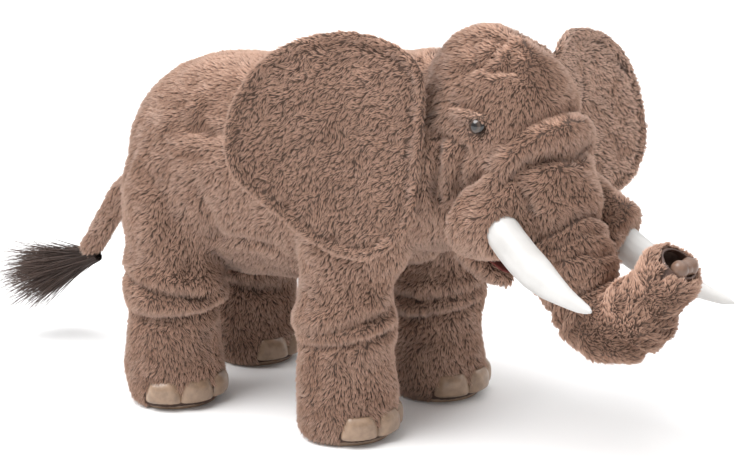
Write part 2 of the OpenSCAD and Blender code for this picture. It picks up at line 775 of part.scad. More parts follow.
// One ear panel between two layers; the front face is the one with high offset
module ear_panel(side, low, high) {
    in_head() at_ear(side) mirror([0, side < 0 ? 0 : 1, 0]) {
        top = ear_layer(high);
        bottom = ear_layer(low);
        n = len(top[0]);
        m = len(top);
        s = m * n;
        polyhedron(concat([for (r = bottom) each r], [for (r = top) each r],
            [ear_middle(low), ear_middle(high)]), concat(
            cells(m, n, 0, true, true),
            cells(m, n, s, true, false),
            [for (j = [0 : n - 1]) [2 * s, s - n + (j + 1) % n, s - n + j]],
            [for (j = [0 : n - 1]) [2 * s + 1, 2 * s - n + j, 2 * s - n + (j + 1) % n]],
            [for (j = [0 : n - 1]) let (k = (j + 1) % n) each [[j, k, s + j], [k, s + k, s + j]]]));
    }
}

module right_ear_front() { color(plush) ear_panel(-1, 0, ear_t); }
module right_ear_back() { color(plush_dark) ear_panel(-1, -ear_t, 0); }
module left_ear_front() { color(plush) ear_panel(1, 0, ear_t); }
module left_ear_back() { color(plush_dark) ear_panel(1, -ear_t, 0); }

// ---- tail -----------------------------------------------------------------

// Angle of the tail below level at u along it
function tail_angle(u) = 33 + 24 * ease(0, 0.5, u) - 32 * ease(0.8, 1.3, u);
TAIL_STEPS = 50;
tail_line = [for (i = 0, p = tail_pivot; i <= 2 * TAIL_STEPS;
    p = p - (i < TAIL_STEPS ? tail_len : tuft_len) / TAIL_STEPS
        * [cos(tail_angle(i / TAIL_STEPS)), 0, sin(tail_angle(i / TAIL_STEPS))],
    i = i + 1) p];

// A ring round the tail at u: 0 at its root, 1 at the tuft, 2 at the hair's end
function tail_ring(u, w, h) =
    let (a = tail_angle(u), c = tail_line[round(u * TAIL_STEPS)], up = [-sin(a), 0, cos(a)])
    [for (i = [0 : 15]) let (t = 360 * i / 16) c + up * h * cos(t) + [0, w * sin(t), 0]];

function tail_radius(u) = tail_r * (1 - 0.3 * u);

module tail_skin() {
    steps = steps_between(0, 1, 8);
    color(plush) ring_tube([for (u = steps) tail_ring(u, tail_radius(u), tail_radius(u))],
        [for (u = steps) tail_ring(u, tail_radius(u) - 2, tail_radius(u) - 2)]);
}

module tail_fill() {
    steps = steps_between(0, 1, 8);
    color(stuffing) ring_body([for (u = steps) tail_ring(u, tail_radius(u) - 2, tail_radius(u) - 2)],
        tail_line[0], tail_line[TAIL_STEPS]);
}

// The space that the loose hair of the tuft fills
module tail_tuft() {
    steps = steps_between(1.02, 2, 8);
    function r(u) = 5 + 13 * ease(1, 1.6, u) - 6 * ease(1.75, 2, u);
    color([0.12, 0.09, 0.08]) ring_body([for (u = steps) tail_ring(u, r(u), r(u) * 0.9)],
        tail_line[TAIL_STEPS + 1], tail_line[2 * TAIL_STEPS]);
}

// ---- the whole elephant -----------------------------------------------------

// Extent of the whole elephant, for centring it on its own footprint
function turned(p) = neck + [p[0] * cos(head_turn) + p[1] * sin(head_turn),
    -p[0] * sin(head_turn) + p[1] * cos(head_turn), p[2]];
function ear_point(side, p) =
    let (flare = side < 0 ? right_ear_flare : left_ear_flare,
         seam = ear_hinge_high - ear_hinge_low,
         lean = side * atan2(-seam[1], seam[2]),
         t = side * (180 - flare),
         v = side < 0 ? 0 : left_ear_droop,
         q = [p[0] * cos(v) + p[2] * sin(v), -side * p[1], -p[0] * sin(v) + p[2] * cos(v)],
         a = [q[0] * cos(t) - q[1] * sin(t), q[0] * sin(t) + q[1] * cos(t), q[2]],
         b = [a[0], a[1] * cos(lean) - a[2] * sin(lean), a[1] * sin(lean) + a[2] * cos(lean)],
         o = ear_hinge_low + (ear_hinge_high - ear_hinge_low) * ear_foot)
    turned([o[0], side * o[1], o[2]] + b);
function tusk_point(side, p) =
    let (i = side < 0 ? 0 : 1, d = tusk_pose[i][1], y = side * tusk_pose[i][0],
         a = [p[0] * cos(d) + p[2] * sin(d), p[1], -p[0] * sin(d) + p[2] * cos(d)],
         b = [a[0] * cos(y) - a[1] * sin(y), a[0] * sin(y) + a[1] * cos(y), a[2]])
    turned(tusk_root[i] + b);

extent_points = concat(
    [for (side = [-1, 1], k = [-1, 1], p = ear_layer(k * ear_t)[0]) ear_point(side, p)],
    [for (side = [-1, 1], u = TUSK_STEPS, p = tusk_ring(u, 0)) tusk_point(side, p)],
    [for (side = [-1, 1]) tusk_point(side, tusk_tip)],
    [for (s = TIP_STEPS, p = trunk_ring(s, tip_radius(s)))
        turned(p)],
    [tail_line[2 * TAIL_STEPS]]);
centre_x = (min([for (p = extent_points) p[0]]) + max([for (p = extent_points) p[0]])) / 2;
centre_y = (min([for (p = extent_points) p[1]]) + max([for (p = extent_points) p[1]])) / 2;

module centred() {
    translate([-centre_x, -centre_y, 0]) children();
}

centred() torso_right_panel();
centred() torso_left_panel();
centred() belly_gusset();
centred() torso_fill();
centred() neck_core();
centred() head_right_panel();
centred() head_left_panel();
centred() head_fill();
centred() eye(-1);  // right_eye
centred() eye(1);  // left_eye
centred() eye_washer(-1);  // right_eye_washer
centred() eye_washer(1);  // left_eye_washer
centred() eyelid(-1);  // right_eyelid
centred() eyelid(1);  // left_eyelid
centred() mouth_palate();
centred() tusk_sleeve(-1);  // right_tusk_sleeve
centred() tusk_sleeve(1);  // left_tusk_sleeve
centred() tusk_cover(-1);  // right_tusk_cover
centred() tusk_cover(1);  // left_tusk_cover
centred() tusk_fill(-1);  // right_tusk_fill
centred() tusk_fill(1);  // left_tusk_fill
centred() jaw_skin();
centred() jaw_fill();
centred() jaw_lining();
centred() right_ear_front();
centred() right_ear_back();
centred() left_ear_front();
centred() left_ear_back();
centred() trunk_upper_skin();
centred() trunk_upper_fill();
centred() trunk_bend_skin();
centred() trunk_bend_fill();
centred() trunk_tip_skin();
centred() trunk_tip_fill();
centred() nostril_lining();
centred() trunk_tip_lip();
centred() tail_skin();
centred() tail_fill();
centred() tail_tuft();
for (leg = LEGS) {
    centred() leg_skin(leg);
    centred() leg_fill(leg);
    centred() sole(leg);
    centred() toenails(leg);
}
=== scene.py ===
# %% [markdown]
# # A stuffed elephant
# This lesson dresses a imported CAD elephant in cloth, pile, satin and leather. The CAD parts
# say where everything is and how it moves. Blender makes what a person sees.

import math

import bmesh
import bpy
import numpy as np
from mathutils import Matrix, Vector, bvhtree, kdtree, noise
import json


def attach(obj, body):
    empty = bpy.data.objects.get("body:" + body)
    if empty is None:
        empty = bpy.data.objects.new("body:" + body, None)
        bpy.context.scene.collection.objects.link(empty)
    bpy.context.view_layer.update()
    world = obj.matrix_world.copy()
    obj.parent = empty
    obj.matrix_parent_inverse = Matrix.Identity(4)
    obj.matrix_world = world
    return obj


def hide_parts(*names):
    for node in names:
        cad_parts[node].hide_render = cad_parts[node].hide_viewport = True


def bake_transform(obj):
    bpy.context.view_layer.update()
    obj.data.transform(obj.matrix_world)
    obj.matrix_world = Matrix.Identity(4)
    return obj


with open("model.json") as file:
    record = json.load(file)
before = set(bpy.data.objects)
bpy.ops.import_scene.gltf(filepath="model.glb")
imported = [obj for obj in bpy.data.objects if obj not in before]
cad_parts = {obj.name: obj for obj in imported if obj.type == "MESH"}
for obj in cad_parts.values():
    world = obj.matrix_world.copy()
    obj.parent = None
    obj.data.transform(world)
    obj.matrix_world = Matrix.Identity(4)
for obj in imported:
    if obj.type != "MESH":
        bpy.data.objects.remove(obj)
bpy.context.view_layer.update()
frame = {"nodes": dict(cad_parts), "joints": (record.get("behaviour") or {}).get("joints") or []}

# %% [markdown]
# ## Places measured on the CAD frame
# The joints give the neck, the hips, the trunk's bends and the ears' seams. The trunk's
# joints turn about the axis that points across the head, so that axis also tells which way
# the head looks. Lengths in this lesson are in millimetres and MM turns them into metres.

# %% Measured places
MM = 0.001
UP = np.array([0.0, 0.0, 1.0])
JOINT = {j["name"]: np.array(j["pos_m"], float) for j in frame["joints"]}
AXIS = {j["name"]: np.array(j["axis"], float) for j in frame["joints"]}
LEGS = ["front_right", "front_left", "hind_right", "hind_left"]
HIP = {leg: JOINT[leg + "_leg_swing"] for leg in LEGS}
hips = sum(HIP.values()) / 4
neck = JOINT["head_turn"]
across = AXIS["trunk_lift"] / np.linalg.norm(AXIS["trunk_lift"])
ahead = np.cross(across, UP)


def head_point(x, y, z):
    """A point in the row frame from millimetres ahead of, left of and above the neck joint."""
    return neck + (ahead * x + across * y + UP * z) * MM


def unit(v):
    return v / np.maximum(np.linalg.norm(v, axis=-1, keepdims=True), 1e-12)


print("neck", neck.round(3), "looks along", ahead.round(3))

# %% [markdown]
# ## The trunk's centre line
# The trunk goes down at a steady angle, turns in one long bend and rises again at its tip.
# Folds, pile and the split between bodies all follow this line.

# %% Trunk line
TRUNK_LEAN, TRUNK_RISE = -62, 53
TRUNK_BEND = (62, 134)
TRUNK_LEN = 179
ROOT_LEN = 18


def ease(a, b, x):
    """0 below a, 1 above b and smooth between."""
    t = np.clip((np.asarray(x, float) - a) / (b - a), 0, 1)
    return t * t * (3 - 2 * t)


trunk_s = np.arange(0, TRUNK_LEN + 1.0, 1.0)
trunk_angle = np.radians(TRUNK_LEAN + (TRUNK_RISE - TRUNK_LEAN) * ease(*TRUNK_BEND, trunk_s))
trunk_dir = np.cos(trunk_angle)[:, None] * ahead + np.sin(trunk_angle)[:, None] * UP
trunk_at = np.vstack([np.zeros(3), np.cumsum(trunk_dir[:-1] * MM, axis=0)])
trunk_at += JOINT["trunk_lift"] - trunk_at[ROOT_LEN]


def trunk_place(co):
    """How far along the trunk each point lies, in millimetres, and how far from its line."""
    s, near = np.zeros(len(co)), np.full(len(co), 1e9)
    for k in range(len(trunk_s)):
        d = np.linalg.norm(co - trunk_at[k], axis=1)
        closer = d < near
        near[closer], s[closer] = d[closer], trunk_s[k]
    return s, near


print("trunk tip", trunk_at[-1].round(3))

# %% [markdown]
# ## Small helpers
# These turn meshes into arrays and back, copy CAD nodes, and add and apply modifiers.


# %% Mesh helpers
def points_of(obj):
    co = np.empty(len(obj.data.vertices) * 3)
    obj.data.vertices.foreach_get("co", co)
    return co.reshape(-1, 3)


def normals_of(obj):
    no = np.empty(len(obj.data.vertices) * 3)
    obj.data.vertices.foreach_get("normal", no)
    return no.reshape(-1, 3)


def set_points(obj, co):
    obj.data.vertices.foreach_set("co", co.ravel())
    obj.data.update()


def select_only(*objs):
    bpy.ops.object.select_all(action="DESELECT")
    for obj in objs:
        obj.select_set(True)
    bpy.context.view_layer.objects.active = objs[0]


def new_object(name, verts, faces):
    mesh = bpy.data.meshes.new(name)
    mesh.from_pydata(verts, [], faces)
    mesh.update()
    obj = bpy.data.objects.new(name, mesh)
    bpy.context.scene.collection.objects.link(obj)
    return obj


def copy_nodes(name, *nodes):
    """One new object holding copies of CAD nodes, with their doubled points merged."""
    bm = bmesh.new()
    for node in nodes:
        bm.from_mesh(frame["nodes"][node].data)
    bmesh.ops.remove_doubles(bm, verts=bm.verts, dist=0.01 * MM)
    mesh = bpy.data.meshes.new(name)
    bm.to_mesh(mesh)
    bm.free()
    obj = bpy.data.objects.new(name, mesh)
    bpy.context.scene.collection.objects.link(obj)
    return obj


def modify(obj, kind, **settings):
    """Adds a modifier and applies it."""
    select_only(obj)
    modifier = obj.modifiers.new(kind.title(), kind)
    for key, value in settings.items():
        setattr(modifier, key, value)
    bpy.ops.object.modifier_apply(modifier=modifier.name)


def smooth(obj, rounds):
    modify(obj, "SMOOTH", factor=0.5, iterations=rounds)


def dress(obj, material):
    """Gives a piece one material and smooth shading."""
    obj.data.materials.clear()
    obj.data.materials.append(material)
    select_only(obj)
    bpy.ops.object.shade_smooth()


def ball(centre, radii, turn=(0, 0, 0)):
    """A ball of stuffing with three radii in millimetres."""
    bpy.ops.mesh.primitive_uv_sphere_add(segments=40, ring_count=20, radius=1,
                                         location=centre, rotation=[math.radians(t) for t in turn])
    obj = bpy.context.object
    obj.scale = [r * MM for r in radii]
    bpy.ops.object.transform_apply(location=True, rotation=True, scale=True)
    return obj


def cone(a, b, radius_a, radius_b):
    """A cone of stuffing from a to b, with its radii in millimetres."""
    way = Vector(b - a)
    bpy.ops.mesh.primitive_cone_add(vertices=40, radius1=radius_a * MM, radius2=radius_b * MM,
                                    depth=way.length, location=(a + b) / 2,
                                    rotation=way.to_track_quat("Z", "Y").to_euler())
    bpy.ops.object.transform_apply(location=True, rotation=True, scale=True)
    return bpy.context.object


def join(name, *objs):
    select_only(*objs)
    bpy.ops.object.join()
    objs[0].name = objs[0].data.name = name
    return objs[0]


def keep_largest(obj):
    """Deletes every loose piece but the one with most points: bubbles inside go."""
    bm = bmesh.new()
    bm.from_mesh(obj.data)
    bm.verts.ensure_lookup_table()
    label = [-1] * len(bm.verts)
    counts = []
    for start in range(len(label)):
        if label[start] >= 0:
            continue
        label[start] = len(counts)
        stack, n = [bm.verts[start]], 0
        while stack:
            v = stack.pop()
            n += 1
            for e in v.link_edges:
                w = e.other_vert(v)
                if label[w.index] < 0:
                    label[w.index] = len(counts)
                    stack.append(w)
        counts.append(n)
    best = counts.index(max(counts))
    bmesh.ops.delete(bm, geom=[v for v in bm.verts if label[v.index] != best], context="VERTS")
    bm.to_mesh(obj.data)
    bm.free()


def melt(obj, voxel, rounds):
    """Melts overlapping shells into one surface by voxels of some millimetres, and smooths it."""
    modify(obj, "REMESH", mode="VOXEL", voxel_size=voxel * MM)
    keep_largest(obj)
    smooth(obj, rounds)


# %% [markdown]
# ## One soft body
# Sewn plush has no steps between its body, legs, head and trunk. So copies of the CAD skins
# and fillings are joined with a few balls of stuffing, a voxel remesh melts them into one
# surface, and smoothing takes the corners off. The balls fill the thighs, the shoulders, the
# neck and the dome of the head. A thick cone round each tusk's root makes its furry sleeve.

# %% Join and melt the body
VOXEL = 3.0
BODY_NODES = ["torso_right_panel", "torso_left_panel", "belly_gusset", "torso_fill", "neck_core",
              "head_right_panel", "head_left_panel", "head_fill",
              "trunk_upper_skin", "trunk_upper_fill", "trunk_bend_skin", "trunk_bend_fill",
              "trunk_tip_skin", "trunk_tip_fill"]
BODY_NODES += [leg + part for leg in LEGS for part in ("_leg_skin", "_leg_fill")]
SLEEVES = {"right": (-26, 28, 6, 18), "left": (-26, 32, 27, 21)}


def tusk_line(side):
    """The middle of a tusk's root and its direction there."""
    cover = points_of(frame["nodes"][side + "_tusk_cover"])
    tip = cover[np.argmax(np.linalg.norm(cover - neck, axis=1))]
    along = (cover - tip) @ unit(tip - cover.mean(0))
    along -= along.min()
    root = cover[along < 3 * MM].mean(0)
    near = cover[(along > 3 * MM) & (along < 22 * MM)].mean(0)
    return root, unit(near - root)


parts = [copy_nodes("body", *BODY_NODES)]
for leg in LEGS:
    outward = math.copysign(1, HIP[leg][1] - hips[1])
    if leg.startswith("hind"):
        parts.append(ball(HIP[leg] + np.array([-2, -outward * 8, 12]) * MM, (41, 38, 60)))
        parts.append(ball(HIP[leg] + np.array([0, 0, -52]) * MM, (37, 36, 40)))
    else:
        parts.append(ball(HIP[leg] + np.array([4, -outward * 6, 14]) * MM, (42, 36, 56)))
        parts.append(ball(HIP[leg] + np.array([0, 0, -60]) * MM, (36, 35, 36)))
parts.append(ball(head_point(24, 0, 6), (44, 64, 70), (0, 12, -6)))
parts.append(ball(head_point(6, 0, 22), (46, 56, 50)))
parts.append(ball(head_point(72, 0, -6), (34, 47, 44)))
parts.append(ball(head_point(56, 0, 50), (44, 40, 52)))
for side in (-1, 1):
    parts.append(ball(head_point(98, side * 33, 2), (17, 17, 27), (0, 20, 0)))
for side, (start, radius_a, stop, radius_b) in SLEEVES.items():
    root, way = tusk_line(side)
    parts.append(cone(root + way * start * MM, root + way * stop * MM, radius_a, radius_b))
body = join("body", *parts)
melt(body, VOXEL, 7)
print("body surface:", len(body.data.vertices), "points")

# %% [markdown]
# The eyelids are small, so they are melted in after the smoothing. The surface is then drawn
# in or let out a little, to leave the pile its room.

# %% Add the lids
body = join("body", body, copy_nodes("lids", "right_eyelid", "left_eyelid"))
melt(body, VOXEL, 1)
ROOM, ROOM_ON_LEG, ROOM_ON_TRUNK = 0.8, 1.4, 3.0
co = points_of(body)
on_leg = ease(120, 90, co[:, 2] / MM)
_, off_line = trunk_place(co)
along_trunk = ease(44, 36, off_line / MM) * ease(90, 120, (co - neck) @ ahead / MM)
room = ROOM - ROOM_ON_LEG * on_leg - ROOM_ON_TRUNK * along_trunk
set_points(body, co - normals_of(body) * room[:, None] * MM)
print("with lids:", len(body.data.vertices), "points")

# %% [markdown]
# ## Folds, pleats and rolls
# A fold is drawn as a line over the skin. Points near the line move in along their normals
# for a furrow, or out for a roll. The same helper shapes the creases sewn into the ears.


# %% Fold helpers
def line_distance(co, line):
    """Distance of each point from a chain of points, in millimetres."""
    near = np.full(len(co), 1e9)
    for a, b in zip(line[:-1], line[1:]):
        d = b - a
        t = np.clip(((co - a) @ d) / max(d @ d, 1e-12), 0, 1)
        near = np.minimum(near, np.linalg.norm(co - a - t[:, None] * d, axis=1))
    return near / MM


def smooth_line(points, steps=8):
    """A smooth chain through a few points."""
    pts = [np.asarray(p, float) for p in points]
    pts = [2 * pts[0] - pts[1]] + pts + [2 * pts[-1] - pts[-2]]
    line = []
    for i in range(1, len(pts) - 2):
        p0, p1, p2, p3 = pts[i - 1:i + 3]
        for k in range(steps):
            t = k / steps
            line.append(0.5 * (2 * p1 + (p2 - p0) * t + (2 * p0 - 5 * p1 + 4 * p2 - p3) * t ** 2
                               + (3 * p1 - p0 - 3 * p2 + p3) * t ** 3))
    return line + [pts[-2]]


def fold(co, shift, points, width, depth, tree=None):
    """Adds a roll (depth above 0) or a furrow (below 0) to the shift along the normals."""
    line = smooth_line(points)
    if tree is not None:
        line = [np.array(tree.find_nearest(Vector(p))[0]) for p in line]
    d = line_distance(co, line)
    ends = np.minimum(np.linalg.norm(co - line[0], axis=1), np.linalg.norm(co - line[-1], axis=1))
    shift += depth * np.exp(-(d / width) ** 2) * (0.45 + 0.55 * ease(0, 2 * width, ends / MM))


def soft_noise(co, scale, seed=0):
    """Smooth noise from -1 to 1 at each point, with features of about scale millimetres."""
    k = 1 / (scale * MM)
    off = Vector((seed * 7.3, seed * 3.1, seed * 5.7))
    return np.array([noise.noise(Vector(p) * k + off) for p in co])


def tree_of(obj):
    return bvhtree.BVHTree.FromObject(obj, bpy.context.evaluated_depsgraph_get())


# %% [markdown]
# Trunk rings run across the trunk. A little noise makes them wander, and four depths take
# turns, so neighbours differ.

# %% Shape the trunk
RINGS = [26, 37, 47, 58, 70, 82, 93, 105, 117, 128, 140, 150]
RING_DEPTHS = [4.4, 2.6, 3.6, 2.2]
RING_WIDTH = 2.4
co, no = points_of(body), normals_of(body)
shift = np.zeros(len(co))
s, off_line = trunk_place(co)
on_trunk = ease(48, 40, off_line / MM) * ease(6, 20, s)
wander = soft_noise(co, 26, 1) * 5 + soft_noise(co, 60, 2) * 5
for k, ring in enumerate(RINGS):
    depth = RING_DEPTHS[k % 4]
    off_ring = s + wander * (1 + (0.3 * k) % 2) - ring
    shift -= on_trunk * depth * np.exp(-(off_ring / RING_WIDTH) ** 2)
shift += on_trunk * 1.5 * soft_noise(co, 15, 3)
print("trunk points shaped:", int((on_trunk > 0.5).sum()))

# %% [markdown]
# The face: a thick roll sewn across the root of the trunk with a furrow above and below it,
# the bulge of the cheek over the tusk, jowl folds that hang behind it, wrinkles above and
# below the eye, and creases on the brow. Each is drawn on the right and mirrored to the left.

# %% Shape the face
tree = tree_of(body)
TRUNK_ROLL = [
    ([(98, 42, 14), (108, 37, 24), (118, 28, 33), (124, 14, 38), (125, 0, 40)], 8.5, 6.5),
    ([(88, 46, 20), (97, 43, 27), (106, 38, 35), (116, 29, 44), (121, 16, 49), (123, 0, 50)],
     5.0, -5.0),
    ([(102, 40, 4), (110, 36, 14), (118, 30, 21), (126, 19, 23), (131, 0, 19)], 4.2, -7.0),
]
CHEEK = [
    ([(57, 30, -28), (66, 37, -13), (78, 44, 2), (92, 44, 12), (100, 40, 12)], 4.2, -6.5),
    ([(92, 42, 2), (104, 38, -6)], 12.0, 5.0),
    ([(112, 36, 8), (119, 32, -8), (125, 28, -26), (131, 26, -38)], 4.0, -5.5),
]
JOWL = [
    ([(44, 52, 33), (60, 52, 34), (72, 50, 30), (80, 48, 22)], 3.6, -5.0),
    ([(56, 52, 30), (56, 51, 14), (52, 48, -2), (53, 42, -20)], 4.2, -8.0),
    ([(66, 51, 28), (63, 50, 10), (59, 46, -9), (57, 38, -24)], 5.0, 4.5),
    ([(76, 50, 28), (71, 48, 11), (63, 44, -8), (56, 33, -28)], 3.8, -7.0),
    ([(44, 51, 27), (45, 51, 14), (41, 50, -4), (42, 44, -18)], 6.0, 4.0),
    ([(34, 52, 28), (34, 52, 12), (32, 50, -4)], 4.0, -5.0),
]
BROW = [
    ([(62, 50, 44), (72, 50, 42), (80, 49, 38), (92, 46, 38)], 2.8, -3.0),
    ([(62, 47, 57), (78, 47, 55), (92, 44, 51)], 3.0, -3.2),
    ([(70, 48, 51), (84, 46, 50), (95, 43, 46)], 3.2, 2.6),
    ([(72, 38, 76), (80, 32, 84), (82, 20, 91), (77, 6, 96)], 2.8, -3.0),
    ([(60, 19, 94), (68, 28, 88), (85, 34, 80), (97, 24, 78)], 2.8, -2.8),
    ([(97, 24, 78), (88, 12, 90), (77, 6, 96)], 2.8, -2.4),
]
FACE_FOLDS = TRUNK_ROLL + CHEEK + JOWL + BROW
for points, width, depth in FACE_FOLDS:
    for side in (-1, 1):
        fold(co, shift, [head_point(x, side * y, z) for x, y, z in points], width, depth, tree)

# %% [markdown]
# The legs have pleats at the knees. The body has shallow hollows
# where loose stuffing sinks.

# %% Shape the legs and body
LEG_PLEATS = {
    "front_right": [(-70, 86, 40), (-64, 74, 30)],
    "front_left": [(-60, 82, 20), (-70, 66, 30)],
    "hind_right": [(-80, 92, -30), (-40, 70, 10)],
    "hind_left": [(-60, 84, 10), (-80, 64, -20)],
}
for leg, pleats in LEG_PLEATS.items():
    for turn, z, tilt in pleats:
        ring = []
        for a in np.radians(np.arange(turn - 75, turn + 76, 15)):
            rise = tilt * 0.25 * math.sin(a - math.radians(turn))
            ring.append(HIP[leg] * [1, 1, 0] + np.array([38 * math.cos(a), 38 * math.sin(a),
                                                         z + rise]) * MM)
        fold(co, shift, ring, 4.0, -6.0, tree)
        fold(co, shift, [p + UP * 10 * MM for p in ring], 6.5, 3.2, tree)
TORSO_FOLDS = [
    ([(44, -30), (50, 0), (40, 34)], 5.0, -5.5),
    ([(52, -22), (80, -16), (108, -22)], 5.0, -5.0),
    ([(-30, 60), (-44, 30), (-46, 0)], 5.0, -4.5),
    ([(20, 84), (50, 76), (84, 84)], 6.0, -4.0),
    ([(-8, 44), (14, 22), (24, -8)], 6.0, -4.0),
]
for points, width, depth in TORSO_FOLDS:
    for side in ("right", "left"):
        hip = HIP["hind_" + side]
        outward = math.copysign(30, hip[1] - hips[1])
        line = [hip + np.array([x, outward, z]) * MM for x, z in points]
        fold(co, shift, line, width, depth, tree)
off_head = ease(30, 10, (co - neck) @ ahead / MM)
shift += off_head * (3.2 * soft_noise(co, 58, 5) + 1.8 * soft_noise(co, 22, 6))
shift += (1 - off_head) * (1 - on_trunk) * 1.5 * soft_noise(co, 22, 7)
set_points(body, co + no * shift[:, None] * MM)
smooth(body, 1)
print("deepest furrow", round(shift.min(), 1), "highest roll", round(shift.max(), 1), "mm")

# %% [markdown]
# ## Which body each piece of skin follows
# The one surface is now split where nothing shows. Each piece crosses one joint at most.
# A leg's piece takes every face that would turn with the leg, so the cut runs where the
# cloth still follows the torso. The head and the trunk are cut between two joints in the
# same way.

# %% Split plans
plans = {}
for leg in LEGS:
    outward = math.copysign(1, HIP[leg][1] - hips[1])
    inner = HIP[leg] * [1, 0, 0] + UP * 97 * MM
    inner[1] = hips[1] + outward * 15 * MM
    slope = np.array([0, outward * 0.69, -0.72])
    plans[leg] = ("torso", leg + "_leg", inner + slope * 20 * MM, inner + slope * 50 * MM)
turn_axis = unit(np.array([ahead[0] + 1, ahead[1], 0])) * 0.94 + UP * 0.34
plans["head"] = ("torso", "head", neck - turn_axis * 14 * MM, neck + turn_axis * 34 * MM)
plans["trunk_upper"] = ("head", "trunk_upper", trunk_at[14], trunk_at[44])
plans["trunk_bend"] = ("trunk_upper", "trunk_bend", trunk_at[46], trunk_at[80])
plans["trunk_tip"] = ("trunk_bend", "trunk_tip", trunk_at[126], trunk_at[154])
ORDER = ["torso"] + list(plans)
TRUNK_PIECES = {"trunk_upper": (12, 45), "trunk_bend": (45, 104), "trunk_tip": (104, TRUNK_LEN)}


def share(co, plan):
    """How far each point follows the second body of a plan, from 0 to 1."""
    start, end = plan[2], plan[3]
    d = end - start
    return np.clip((co - start) @ d / (d @ d), 0, 1)


def region_of(co):
    """The name of the skin piece that each point belongs to, as a number in ORDER."""
    region = np.zeros(len(co), int)
    for leg in LEGS:
        near = (np.sign(co[:, 1] - hips[1]) == np.sign(HIP[leg][1] - hips[1]))
        near &= (np.sign(co[:, 0] - hips[0]) == np.sign(HIP[leg][0] - hips[0]))
        near &= share(co, plans[leg]) > 0
        near &= np.linalg.norm((co - HIP[leg])[:, :2], axis=1) < 58 * MM
        region[near] = ORDER.index(leg)
    free = region == 0
    region[free & (share(co, plans["head"]) > 0)] = ORDER.index("head")
    s, off_line = trunk_place(co)
    wide = np.abs((co - neck) @ across) < 36 * MM
    trunk = (s > 12) & (off_line < 44 * MM) & (wide | (s > 34))
    for name, (low, high) in TRUNK_PIECES.items():
        region[trunk & (s > low) & (s <= high)] = ORDER.index(name)
    return region


# %% [markdown]
# The pieces are cut out of the one surface by face.

# %% Split the body
polys = np.empty(len(body.data.loops), int)
body.data.loops.foreach_get("vertex_index", polys)
starts = np.empty(len(body.data.polygons), int)
body.data.polygons.foreach_get("loop_start", starts)
co = points_of(body)
quads = [tuple(polys[a:b]) for a, b in zip(starts, list(starts[1:]) + [len(polys)])]
middles = np.array([co[list(q)].mean(0) for q in quads])
face_region = region_of(middles)
skins = {}
for k, name in enumerate(ORDER):
    mine = [q for q, r in zip(quads, face_region) if r == k]
    used = sorted({v for q in mine for v in q})
    new = {v: i for i, v in enumerate(used)}
    skins[name] = new_object("skin_" + name, co[used], [[new[v] for v in q] for q in mine])
bpy.data.objects.remove(body)
print({name: len(obj.data.polygons) for name, obj in skins.items()})

# %% [markdown]
# ## Jaw and tail
# The jaw and the tail are their own soft pieces, melted the same way and set into the head
# and the rump.

# %% Jaw and tail
for name, voxel, let_out in (("jaw", 2.2, -1.0), ("tail", 2.0, 1.4)):
    piece = copy_nodes("skin_" + name, name + "_skin", name + "_fill")
    melt(piece, voxel, 5)
    set_points(piece, points_of(piece) + normals_of(piece) * let_out * MM)
    skins[name] = piece

# %% [markdown]
# ## Ears
# Each ear is two panels sewn round a rolled rim. The rim is a tube laid along the CAD
# ear's outline. Creases run out from the seam like the ribs of a leaf.


# %% Ear frames
def ear_frame(side):
    """The ear's seam foot, and unit vectors out along it, up its seam and out of its front."""
    joint = side + "_ear_flap"
    seam = unit(AXIS[joint])
    panel = points_of(frame["nodes"][side + "_ear_front"])
    back = points_of(frame["nodes"][side + "_ear_back"])
    foot = JOINT[joint]
    out = (panel - foot).mean(0)
    out = unit(out - seam * (out @ seam))
    front = np.cross(seam, out)
    if (panel.mean(0) - back.mean(0)) @ front < 0:
        front = -front
    return foot, out, seam, front


def outline(points):
    """The convex outline of flat points, in order."""
    pts = sorted(map(tuple, points))

    def half(rows):
        chain = []
        for p in rows:
            while len(chain) > 1 and ((chain[-1][0] - chain[-2][0]) * (p[1] - chain[-2][1])
                                      - (chain[-1][1] - chain[-2][1]) * (p[0] - chain[-2][0])) <= 0:
                chain.pop()
            chain.append(p)
        return chain[:-1]

    return np.array(half(pts) + half(pts[::-1]))


